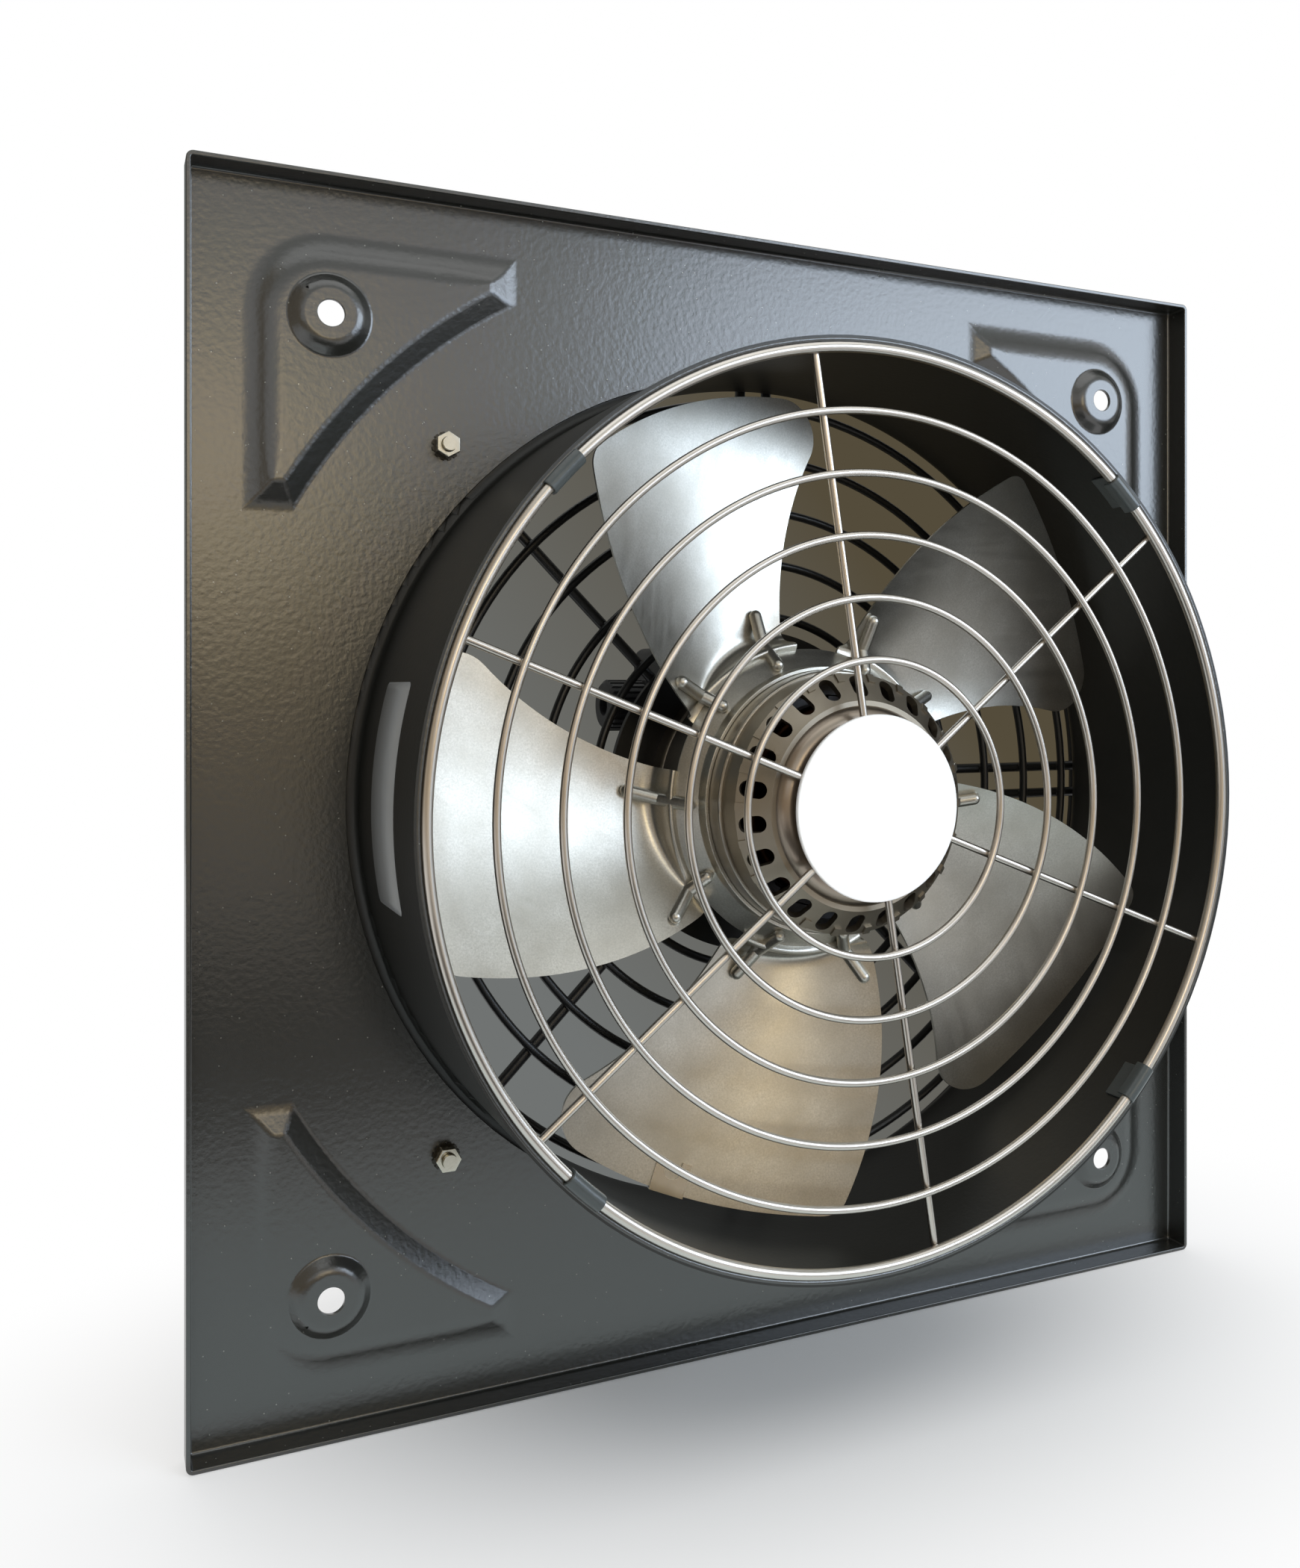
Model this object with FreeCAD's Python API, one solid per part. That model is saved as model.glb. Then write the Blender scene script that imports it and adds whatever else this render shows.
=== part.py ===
"""Plate-mounted axial wall exhaust fan with an external-rotor motor.

The fan axis lies along Y, the duct and its front guard point to -Y, and +Z is up. The origin is the
centre of the four wall bolts, in the plane where the plate meets the wall. All sizes are millimetres
and degrees. Angles run anticlockwise from +X as seen from the front.
"""
import FreeCAD, Part
import math
import os

from FreeCAD import Vector

# Duct and its welded flange
duct_bore = 308.0
duct_wall = 1.2
duct_edge_overlap = 0.45
bell_radius = 4.0
bell_flange_width = 8.8

# Square wall plate, pressed from one sheet
plate_thickness = 1.5
flange_depth = 9.5
flange_ahead = 3.1
bend_inside_radius = 1.0
plate_hole_gap = 3.8
plate_edge_margin = 46.0
corner_count = 4
wall_hole_diameter = 9.0
boss_foot_diameter = 28.0
boss_top_diameter = 20.0
pad_height = 3.1
pad_slope = 7.0
pad_corner_radius = 26.0
pad_outer_margin = 20.5
pad_end_inset = 64.5
pad_end_slope = 8.0
pad_arc_margin = 26.93
hole_to_pad_arc = 30.345

# Fasteners of the rear guard
bolt_edge_margin = 8.07
bolt_angle = 45.0
bolt_diameter = 5.0
bolt_hole_clearance = 0.25
nut_across_flats = 8.0
nut_height = 4.0
bolt_head_height = 3.5
bolt_end_length = 2.0
tooth_washer_diameter = 10.0
tooth_washer_thickness = 0.8
tooth_count = 12
tooth_notch_radius = 0.6
flat_washer_diameter = 10.0
flat_washer_thickness = 1.0
rubber_washer_diameter = 12.0
rubber_washer_thickness = 2.0

# Rear guard, bent and welded from black wire
rear_spoke_diameter = 4.0
rear_ring_diameter = 3.2
rear_ring_count = 5
rear_ring_edge_gap = 4.0
rear_ring_inner_gap = 6.0
rear_rim_gap = 6.0
rear_spoke_overhang = 3.0
weld_sink = 0.3
pair_count = 4
pair_spacing = 11.4
eyelet_clearance = 0.3
spoke_weld_length = 26.0

# Motor plate and motor base
motor_plate_radius = 62.0
motor_plate_thickness = 2.5
motor_screw_count = 4
motor_screw_radius = 30.0
motor_screw_angle = 22.5
motor_screw_diameter = 4.0
motor_screw_length = 9.0
screw_head_diameter = 7.0
screw_head_height = 2.6
screw_slot_width = 1.0
screw_slot_depth = 1.1
base_thickness = 8.0
base_edge_radius = 1.5
bearing_tube_wall = 3.5
tube_shoulder = 1.5
tube_lip = 1.0
boss_wall = 4.0
boss_clearance = 0.5
wire_hole_radius = 8.0

# Rotor and hub
rotor_diameter = 92.0
rotor_gap = 2.0
shell_nose = 7.3
shell_wall = 2.0
shell_edge_radius = 0.9
cage_overhang = 1.5
cage_depth = 6.6
air_gap = 0.4
cap_step = 0.6
cap_side_height = 9.2
cap_shoulder_height = 8.0
cap_shoulder_width = 9.1
cap_wall = 2.5
cap_skirt_depth = 5.0
cap_seat_width = 5.5
slot_count = 22
slot_phase = 7.2
slot_length = 9.4
slot_width = 5.6
slot_offset = 0.4
rib_pad_length = 3.6
rib_pad_width = 2.6
rib_pad_height = 0.7
dome_height = 3.5
dome_overhang = 3.8
dome_round_width = 5.8
dome_spigot_depth = 3.5
dome_wall = 2.5
dome_boss_radius = 9.0

# Shaft and ball bearings
shaft_diameter = 8.0
shaft_end_gap = 3.5
bearing_outer_diameter = 22.0
bearing_width = 7.0
bearing_race_wall = 2.1
bearing_race_floor = 1.5
ball_count = 7
ball_clearance = 0.05
cage_ring_wall = 1.5
cage_ring_margin = 0.75
cage_pocket_clearance = 0.1
front_bearing_setback = 4.3
rear_bearing_setback = 8.0
spacer_wall = 1.8
spacer_length = 7.0
circlip_wall = 1.9
circlip_thickness = 1.0
circlip_gap = 0.1
circlip_mouth = 5.0
circlip_groove_depth = 0.3
shaft_tail = 1.2

# Stator
stator_length = 30.0
stator_setback = 10.8
stator_slot_count = 12
stator_slot_width = 7.0
stator_slot_depth = 13.0
stator_tooth_tip = 2.0
winding_clearance = 0.2
end_turn_height = 7.4
end_turn_round = 2.5

# Impeller hub ring and blades
hub_sheet = 1.4
hub_setback = 7.3
hub_collar_length = 5.0
hub_flare = 6.6
blade_count = 5
blade_phase = 77.4
blade_sheet = 1.2
blade_tip_gap = 7.0
blade_root_overlap = 0.5
blade_span_angle = 53.1
blade_front_sweep = 21.9
blade_rear_sweep = 15.0
blade_rear_sweep_power = 1.5
blade_neck_length = 8.0
blade_front_root = -4.2
blade_front_mid = -13.3
blade_front_tip = -13.9
blade_rear_root = 9.8
blade_rear_mid = 12.9
blade_rear_tip = 16.4
blade_camber = 5.6
blade_rows = 26
blade_columns = 11
blade_edge_points = 7
blade_front_corner = 9.0
blade_rear_corner = 14.0
rib_radius = 2.3
rib_inner_setback = 3.6
rib_length = 17.5
rib_elbow_length = 7.35
rib_cover = 0.3
rib_front_angle = 11.0
rib_rear_angle = 41.0
rib_splay = 3.8

# Balance clip on one blade tip
clip_blade = 3
clip_angle_after_front = 23.0
clip_width = 12.6
clip_reach = 11.0
clip_sheet = 0.6
clip_blade_gap = 0.12
clip_prong_width = 3.4
clip_notch_depth = 6.6

# Front guard, welded from bright wire
front_rim_diameter = 3.5
front_wire_diameter = 2.6
front_ring_count = 5
front_ring_inner_radius = 49.05
front_spoke_count = 6
front_spoke_phase = 38.9
spoke_badge_overlap = 9.0
guard_clearance = 2.4
badge_radius = 31.0
badge_thickness = 1.2
badge_edge = 0.3
badge_sink = 0.2

# Clips that hold the front guard to the duct
guard_clip_count = 4
guard_clip_phase = 46.7
guard_clip_width = 14.0
guard_clip_sheet = 0.9
guard_clip_clearance = 0.05
guard_clip_leg = 12.0
guard_clip_tail = 2.4

# Terminal box, its lid, capacitor and cable gland
box_width = 64.0
box_height = 76.0
box_depth = 34.0
box_wall = 2.5
box_inside_corner = 2.5
box_center_x = -2.0
box_gap = 1.0
box_lid_thickness = 3.0
box_post_radius = 4.0
box_post_sink = 1.0
lid_screw_diameter = 3.0
lid_screw_length = 14.0
lid_head_diameter = 5.6
lid_head_recess = 1.6
box_screw_count = 2
box_screw_length = 8.0
box_screw_head = 2.0
box_screw_room = 1.7
capacitor_diameter = 22.0
capacitor_length = 38.0
capacitor_wall_gap = 1.0
gland_inset = 23.0
gland_thread_diameter = 16.0
gland_across_flats = 20.0
gland_hex_length = 6.0
gland_thread_inside = 7.0
gland_neck_length = 7.0
gland_locknut_length = 4.0
gland_nut_radius = 10.0
gland_nut_length = 15.0
gland_nut_gap = 0.3
gland_nut_end = 3.0
gland_nut_chamfer = 1.5
gland_neck_step = 0.5
gland_rib_count = 24
gland_rib_radius = 0.55
gland_seal_gap = 0.2
cable_entry_diameter = 8.0

# Radii worked out from the bore and the rotor
duct_inner = duct_bore / 2
duct_outer = duct_inner + duct_wall
plate_hole_radius = duct_outer + plate_hole_gap
bell_flange_radius = duct_outer + bell_radius + bell_flange_width
bolt_circle = bell_flange_radius + bolt_edge_margin
pad_arc_radius = bolt_circle + pad_arc_margin
wall_hole_circle = pad_arc_radius + hole_to_pad_arc
wall_hole_offset = wall_hole_circle / math.sqrt(2)
plate_half = wall_hole_offset + plate_edge_margin
rotor_radius = rotor_diameter / 2
shell_inner = rotor_radius - shell_wall
rotor_inner = shell_inner - cage_depth
stator_radius = rotor_inner - air_gap
bearing_radius = bearing_outer_diameter / 2
tube_radius = bearing_radius + bearing_tube_wall
boss_radius = bearing_radius + boss_wall
shaft_radius = shaft_diameter / 2
hub_collar_radius = rotor_radius + hub_sheet
hub_edge_radius = hub_collar_radius + hub_flare
blade_root = hub_edge_radius - blade_root_overlap
blade_tip = duct_inner - blade_tip_gap
rim_wire = front_rim_diameter / 2
clip_inner = rim_wire + guard_clip_clearance
clip_outer = clip_inner + guard_clip_sheet
rim_radius = duct_inner - clip_outer
rear_ring_outer_radius = duct_inner - rear_ring_edge_gap
rear_ring_inner_radius = motor_plate_radius + rear_ring_inner_gap
rear_rim_radius = bolt_circle - flat_washer_diameter / 2 - rear_rim_gap - rear_spoke_diameter / 2
spoke_inner_radius = motor_plate_radius - spoke_weld_length
front_spoke_inner_radius = badge_radius - spoke_badge_overlap
bend_radius = bend_inside_radius + plate_thickness
cap_side = shell_inner + cap_step
cap_brow = cap_side - cap_shoulder_width
cap_seat = cap_brow - cap_seat_width
cap_slope = math.hypot(cap_shoulder_width, cap_shoulder_height)
ball_circle = (shaft_radius + bearing_radius) / 2
ball_radius = (bearing_radius - shaft_radius) / 2 - bearing_race_floor - ball_clearance
box_screw_radius = (bearing_radius + boss_radius) / 2
box_corner = box_inside_corner + box_wall
box_post_inset = box_wall + box_post_radius - box_post_sink

# Depths along Y worked out from the boss faces to the front guard
flange_y = -flange_ahead
sheet_y = flange_y + flange_depth
back_y = sheet_y + plate_thickness
pad_y = sheet_y - pad_height
spoke_y = back_y + rubber_washer_thickness + rear_spoke_diameter / 2
spoke_back_y = spoke_y + rear_spoke_diameter / 2
rear_ring_y = spoke_y - (rear_spoke_diameter + rear_ring_diameter) / 2 + weld_sink
rear_rim_y = spoke_y + rear_spoke_diameter - weld_sink
motor_plate_back_y = spoke_y - rear_spoke_diameter / 2 + weld_sink
motor_plate_y = motor_plate_back_y - motor_plate_thickness
base_y = motor_plate_y - base_thickness
rotor_back_y = base_y - rotor_gap
stator_y = rotor_back_y - stator_setback - stator_length
stator_back_y = stator_y + stator_length
shell_y = stator_y - shell_nose
cap_rim_y = shell_y - cap_side_height
cap_y = cap_rim_y - cap_shoulder_height
dome_y = cap_y - dome_height
front_spoke_y = dome_y - guard_clearance - front_wire_diameter / 2
front_ring_y = front_spoke_y - front_wire_diameter + weld_sink
duct_y = front_ring_y - duct_edge_overlap
box_y = spoke_back_y + box_gap
box_back_y = box_y + box_depth
hub_y = shell_y + hub_setback
flare_y = hub_y + hub_collar_length
hub_edge_y = flare_y + hub_flare
front_bearing_y = shell_y + front_bearing_setback
rear_bearing_y = rotor_back_y - rear_bearing_setback
dome_boss_y = front_bearing_y - spacer_length
shaft_y = dome_y + dome_wall + shaft_end_gap

X_AXIS = Vector(1, 0, 0)
Y_AXIS = Vector(0, 1, 0)
Z_AXIS = Vector(0, 0, 1)
SPIN_AXIS = Vector(0, -1, 0)
ORIGIN = Vector(0, 0, 0)
HEX_SIDES = 6
TOLERANCE = 0.001


def at(radius, angle, y):
    """Point at a radius and an angle round the fan axis."""
    turn = math.radians(angle)
    return Vector(radius * math.cos(turn), y, radius * math.sin(turn))


def turned(shape, angle):
    """Copy of a shape, turned round the fan axis."""
    copy = shape.copy()
    copy.rotate(ORIGIN, SPIN_AXIS, angle)
    return copy


def ring_of(shape, count, phase=0.0):
    """Copies of a shape, evenly spaced round the fan axis."""
    return [turned(shape, phase + 360.0 * index / count) for index in range(count)]


def moved(shape, x, y, z):
    """Copy of a shape, moved."""
    copy = shape.copy()
    copy.translate(Vector(x, y, z))
    return copy


def cylinder(radius, front, back, x=0.0, z=0.0):
    """Cylinder along Y between two depths."""
    return Part.makeCylinder(radius, back - front, Vector(x, front, z), Y_AXIS)


def tube(outer, inner, front, back):
    """Hollow cylinder along Y between two depths."""
    return cylinder(outer, front, back).cut(cylinder(inner, front, back))


def rod(start, end, radius):
    """Round bar between two points."""
    return Part.makeCylinder(radius, (end - start).Length, start, end - start)


def capsule(start, end, radius):
    """Round bar with ball ends between two points."""
    length = (end - start).Length
    lean = radius / math.sqrt(2)
    edges = [
        Part.LineSegment(Vector(0, 0, -radius), Vector(0, 0, length + radius)),
        Part.Arc(Vector(0, 0, length + radius), Vector(lean, 0, length + lean), Vector(radius, 0, length)),
        Part.LineSegment(Vector(radius, 0, length), Vector(radius, 0, 0)),
        Part.Arc(Vector(radius, 0, 0), Vector(lean, 0, -lean), Vector(0, 0, -radius)),
    ]
    profile = Part.Face(Part.Wire([edge.toShape() for edge in edges]))
    bar = outward(profile.revolve(ORIGIN, Z_AXIS, 360.0))
    bar.Placement = FreeCAD.Placement(start, FreeCAD.Rotation(Z_AXIS, end - start))
    return bar


def hoop(radius, wire_diameter, y):
    """Closed wire ring round the fan axis."""
    return Part.makeTorus(radius, wire_diameter / 2, Vector(0, y, 0), Y_AXIS)


def block(x0, x1, y0, y1, z0, z1):
    """Box between two corners."""
    return Part.makeBox(x1 - x0, y1 - y0, z1 - z0, Vector(x0, y0, z0))


def outward(solid):
    """Solid with its faces pointing out."""
    if solid.Volume < 0:
        solid.reverse()
    return solid


def revolved(edges, angle=360.0):
    """Solid of revolution of a closed profile drawn as radius and depth."""
    face = Part.Face(Part.Wire(edges))
    return outward(face.revolve(ORIGIN, SPIN_AXIS, angle))


def lines(points):
    """Straight edges through radius and depth pairs, left open."""
    corners = [Vector(radius, y, 0) for radius, y in points]
    return [Part.LineSegment(a, b).toShape() for a, b in zip(corners, corners[1:])]


def arc(start, middle, end):
    """Round edge through three radius and depth pairs."""
    return Part.Arc(*(Vector(radius, y, 0) for radius, y in (start, middle, end))).toShape()


def lathe(points):
    """Solid of revolution of a closed polygon of radius and depth pairs."""
    return revolved(lines(list(points) + [points[0]]))


def hexagon(across_flats, front, back):
    """Hexagonal prism along Y."""
    radius = across_flats / math.sqrt(3)
    corners = [at(radius, 360.0 * side / HEX_SIDES, front) for side in range(HEX_SIDES + 1)]
    return Part.Face(Part.makePolygon(corners)).extrude(Vector(0, back - front, 0))


def edges_along_y(shape):
    """Straight edges of a shape that run along Y."""
    straight = [edge for edge in shape.Edges if edge.Curve.TypeId == "Part::GeomLine"]
    return [edge for edge in straight if edge.BoundBox.YLength > edge.Length - TOLERANCE]


def edges_at_y(shape, y):
    """Edges of a shape that lie in one plane across Y."""
    return [edge for edge in shape.Edges
            if abs(edge.BoundBox.YMin - y) < TOLERANCE and abs(edge.BoundBox.YMax - y) < TOLERANCE]


def export(name, shape):
    """Write one node, after checking that it is sound."""
    if not shape.isValid() or shape.Volume <= 0:
        raise ValueError(name + " is not a sound solid")
    print(name, len(shape.Solids), "solids", round(shape.Volume), "mm3")
    shape.exportStep("parts/" + name + ".step")


def group(solids):
    """Separate solids that share one node."""
    return Part.makeCompound(solids)


# Wall plate with its folded edge, corner pads and bolt bosses
def pad_outline(inset, end_inset, y):
    """Outline of a corner pad, drawn in from its foot."""
    side = plate_half - pad_outer_margin - inset
    corner = side - (pad_corner_radius - inset)
    end = wall_hole_offset - pad_end_inset + end_inset
    bow = pad_arc_radius + inset
    reach = math.sqrt(bow ** 2 - end ** 2)
    middle = bow / math.sqrt(2)
    bulge = corner + (pad_corner_radius - inset) / math.sqrt(2)
    edges = [
        Part.LineSegment(Vector(side, y, end), Vector(side, y, corner)),
        Part.Arc(Vector(side, y, corner), Vector(bulge, y, bulge), Vector(corner, y, side)),
        Part.LineSegment(Vector(corner, y, side), Vector(end, y, side)),
        Part.LineSegment(Vector(end, y, side), Vector(end, y, reach)),
        Part.Arc(Vector(end, y, reach), Vector(middle, y, middle), Vector(reach, y, end)),
        Part.LineSegment(Vector(reach, y, end), Vector(side, y, end)),
    ]
    return Part.Wire([edge.toShape() for edge in edges])


def tray(half, front, back, radius):
    """Block with its upright and back edges rounded."""
    solid = block(-half, half, front, back, -half, half)
    return solid.makeFillet(radius, edges_along_y(solid) + edges_at_y(solid, back))


def wall_plate():
    """Sheet folded forward round its edge and pressed forward at its corners."""
    sheet = tray(plate_half, flange_y, back_y, bend_radius)
    fold = tray(plate_half - plate_thickness, flange_y - plate_thickness, sheet_y, bend_inside_radius)
    foot = pad_outline(0.0, 0.0, sheet_y)
    top = pad_outline(pad_slope, pad_end_slope, pad_y)
    pad = Part.makeLoft([foot, top], True, True)
    center = Vector(wall_hole_offset, pad_y, wall_hole_offset)
    boss = Part.makeCone(boss_foot_diameter / 2, boss_top_diameter / 2, pad_y, center, SPIN_AXIS)
    pressings = ring_of(pad.fuse(boss), corner_count)
    hollows = [moved(pressing, 0, plate_thickness, 0) for pressing in pressings]
    wall_hole = cylinder(wall_hole_diameter / 2, 0.0, back_y, wall_hole_offset, wall_hole_offset)
    bolt_hole = at_bolt(cylinder(bolt_diameter / 2 + bolt_hole_clearance, sheet_y, back_y))
    opening = cylinder(plate_hole_radius, 0.0, back_y)
    plate = sheet.cut(fold).fuse(pressings).cut(hollows)
    return plate.cut([opening] + ring_of(wall_hole, corner_count) + ring_of(bolt_hole, corner_count))


# Duct with its bell mouth, welded behind the plate
def duct_ring():
    """Straight duct that curls out into a flange at its back."""
    round_x = duct_outer + bell_radius
    round_y = back_y - bell_radius
    lean = 1 / math.sqrt(2)
    skin = bell_radius + duct_wall
    edges = lines([(duct_inner, round_y), (duct_inner, duct_y), (duct_outer, duct_y), (duct_outer, round_y)])
    middle = (round_x - bell_radius * lean, round_y + bell_radius * lean)
    edges.append(arc((duct_outer, round_y), middle, (round_x, back_y)))
    flange_y = back_y + duct_wall
    edges += lines([(round_x, back_y), (bell_flange_radius, back_y), (bell_flange_radius, flange_y),
                    (round_x, flange_y)])
    middle = (round_x - skin * lean, round_y + skin * lean)
    edges.append(arc((round_x, flange_y), middle, (duct_inner, round_y)))
    return revolved(edges)


# Clips that hook the front guard's rim to the duct
def guard_clip():
    """Strip on the duct's inner wall, hooked over the rim wire."""
    leg_y = front_ring_y + guard_clip_leg
    tail_y = front_ring_y + guard_clip_tail
    far = duct_inner - guard_clip_sheet
    near = rim_radius - clip_inner
    edges = lines([(duct_inner, leg_y), (duct_inner, front_ring_y)])
    edges.append(arc((duct_inner, front_ring_y), (rim_radius, front_ring_y - clip_outer),
                     (rim_radius - clip_outer, front_ring_y)))
    edges += lines([(rim_radius - clip_outer, front_ring_y), (rim_radius - clip_outer, tail_y),
                    (near, tail_y), (near, front_ring_y)])
    edges.append(arc((near, front_ring_y), (rim_radius, front_ring_y - clip_inner), (far, front_ring_y)))
    edges += lines([(far, front_ring_y), (far, leg_y), (duct_inner, leg_y)])
    span = math.degrees(guard_clip_width / rim_radius)
    return turned(revolved(edges, span), -span / 2)


# Front guard
def front_rings():
    """Inner rings of the front guard, from the outside in."""
    pitch = (rim_radius - front_ring_inner_radius) / front_ring_count
    radii = [rim_radius - pitch * (index + 1) for index in range(front_ring_count)]
    return [hoop(radius, front_wire_diameter, front_ring_y) for radius in radii]


def front_spoke():
    """Straight wire behind the rings, from the badge to the rim."""
    start = at(front_spoke_inner_radius, 0.0, front_spoke_y)
    return rod(start, at(rim_radius, 0.0, front_spoke_y), front_wire_diameter / 2)


def guard_badge():
    """Plain round disc welded to the spokes."""
    back = front_spoke_y - front_wire_diameter / 2 + badge_sink
    disc = cylinder(badge_radius, back - badge_thickness, back)
    return disc.makeChamfer(badge_edge, edges_at_y(disc, back - badge_thickness))


# Rear guard
def rear_rings():
    """Inner rings of the rear guard, from the outside in."""
    pitch = (rear_ring_outer_radius - rear_ring_inner_radius) / (rear_ring_count - 1)
    radii = [rear_ring_outer_radius - pitch * index for index in range(rear_ring_count)]
    return [hoop(radius, rear_ring_diameter, rear_ring_y) for radius in radii]


def rear_leg():
    """Diagonal wire that ends in an eyelet round the guard bolt."""
    wire = rear_spoke_diameter / 2
    loop = bolt_diameter / 2 + eyelet_clearance + wire
    start = at(spoke_inner_radius, bolt_angle, spoke_y)
    straight = rod(start, at(bolt_circle - loop, bolt_angle, spoke_y), wire)
    eyelet = Part.makeTorus(loop, wire, at(bolt_circle, bolt_angle, spoke_y), Y_AXIS)
    return straight.fuse(eyelet)


def rear_pair():
    """Two straight wires side by side."""
    reach = rear_rim_radius + rear_spoke_overhang
    wires = []
    for z in (-pair_spacing / 2, pair_spacing / 2):
        start = Vector(spoke_inner_radius, spoke_y, z)
        wires.append(rod(start, Vector(reach, spoke_y, z), rear_spoke_diameter / 2))
    return wires


# Fasteners of the rear guard, listed from the front to the back
def at_bolt(shape):
    """Shape made on the fan axis, moved to the first guard bolt."""
    place = at(bolt_circle, bolt_angle, 0.0)
    return moved(shape, place.x, 0, place.z)


def guard_fasteners():
    """One nut, toothed washer, rubber washer, flat washer and bolt, by node name."""
    shank = bolt_diameter / 2
    loose = shank + bolt_hole_clearance
    washer_y = sheet_y - tooth_washer_thickness
    nut_y = washer_y - nut_height
    nut = hexagon(nut_across_flats, nut_y, washer_y).cut(cylinder(shank, nut_y, washer_y))
    tooth_radius = tooth_washer_diameter / 2
    notch = cylinder(tooth_notch_radius, washer_y, sheet_y, tooth_radius, 0.0)
    toothed = tube(tooth_radius, loose, washer_y, sheet_y).cut(ring_of(notch, tooth_count))
    rubber = tube(rubber_washer_diameter / 2, loose, back_y, back_y + rubber_washer_thickness)
    head_y = spoke_back_y + flat_washer_thickness
    flat = tube(flat_washer_diameter / 2, loose, spoke_back_y, head_y)
    bolt = cylinder(shank, nut_y - bolt_end_length, head_y)
    bolt = bolt.fuse(hexagon(nut_across_flats, head_y, head_y + bolt_head_height))
    pieces = {"guard_nuts": nut, "guard_tooth_washers": toothed, "guard_rubber_washers": rubber,
              "guard_flat_washers": flat, "guard_bolts": bolt}
    return {name: group(ring_of(at_bolt(piece), corner_count)) for name, piece in pieces.items()}


# Motor plate, motor base and their screws
def motor_screw_hole():
    """Room for one motor screw's shank."""
    front = motor_plate_back_y - motor_screw_length
    position = at(motor_screw_radius, motor_screw_angle, 0.0)
    return cylinder(motor_screw_diameter / 2, front, motor_plate_back_y, position.x, position.z)


def motor_plate():
    """Flat ring welded to the inner ends of the rear guard's spokes."""
    plate = tube(motor_plate_radius, boss_radius + boss_clearance, motor_plate_y, motor_plate_back_y)
    return plate.cut(ring_of(motor_screw_hole(), motor_screw_count))


def slotted_screw(shank, length, head_radius, head_height, y):
    """Screw along Y whose head stands behind a depth."""
    head = cylinder(head_radius, y, y + head_height)
    slot = block(-head_radius, head_radius, y + head_height - screw_slot_depth, y + head_height,
                 -screw_slot_width / 2, screw_slot_width / 2)
    return cylinder(shank, y - length, y).fuse(head).cut(slot)


def motor_screw():
    """Slotted screw through the motor plate into the base."""
    screw = slotted_screw(motor_screw_diameter / 2, motor_screw_length, screw_head_diameter / 2,
                          screw_head_height, motor_plate_back_y)
    position = at(motor_screw_radius, motor_screw_angle, 0.0)
    return moved(screw, position.x, 0, position.z)


def box_screw_hole():
    """Room for one terminal box screw in the base's boss."""
    front = box_y + box_wall - box_screw_length
    return cylinder(lid_screw_diameter / 2, front, box_y + box_wall, 0.0, box_screw_radius)


def motor_base():
    """Cast stator flange with the bearing tube in front and a boss behind."""
    tube_y = front_bearing_y - tube_lip
    waist = bearing_radius - tube_shoulder
    front_seat = front_bearing_y + bearing_width
    base = lathe([
        (tube_radius, tube_y), (tube_radius, base_y), (rotor_radius, base_y), (rotor_radius, motor_plate_y),
        (boss_radius, motor_plate_y), (boss_radius, box_y), (bearing_radius, box_y),
        (bearing_radius, rear_bearing_y), (waist, rear_bearing_y), (waist, front_seat),
        (bearing_radius, front_seat), (bearing_radius, tube_y),
    ])
    rim = [edge for edge in edges_at_y(base, base_y) if edge.BoundBox.XMax > rotor_radius - TOLERANCE]
    base = base.makeFillet(base_edge_radius, rim)
    holes = ring_of(motor_screw_hole(), motor_screw_count) + ring_of(box_screw_hole(), box_screw_count)
    return base.cut(holes)


# Stator
def stator_slot(clearance, front, back):
    """Block that fills one stator slot, less a clearance."""
    outer = stator_radius - stator_tooth_tip
    half = stator_slot_width / 2 - clearance
    return block(outer - stator_slot_depth + clearance, outer - clearance, front, back, -half, half)


def stator_core():
    """Stack of laminations on the bearing tube, slotted for the windings."""
    core = tube(stator_radius, tube_radius, stator_y, stator_back_y)
    mouth = block(stator_radius - stator_tooth_tip, stator_radius, stator_y, stator_back_y,
                  -stator_tooth_tip / 2, stator_tooth_tip / 2)
    slot = stator_slot(0.0, stator_y, stator_back_y).fuse(mouth)
    return core.cut(ring_of(slot, stator_slot_count))


def stator_windings():
    """Varnished winding: bars in the slots and an end turn at each end."""
    outer = stator_radius - stator_tooth_tip - winding_clearance
    inner = stator_radius - stator_tooth_tip - stator_slot_depth + winding_clearance
    front = stator_y - winding_clearance
    back = stator_back_y + winding_clearance
    front_turn = tube(outer, inner, front - end_turn_height, front)
    front_turn = front_turn.makeFillet(end_turn_round, edges_at_y(front_turn, front - end_turn_height))
    back_turn = tube(outer, inner, back, back + end_turn_height)
    back_turn = back_turn.makeFillet(end_turn_round, edges_at_y(back_turn, back + end_turn_height))
    bar = stator_slot(winding_clearance, front, back)
    return front_turn.fuse([back_turn] + ring_of(bar, stator_slot_count))


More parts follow.
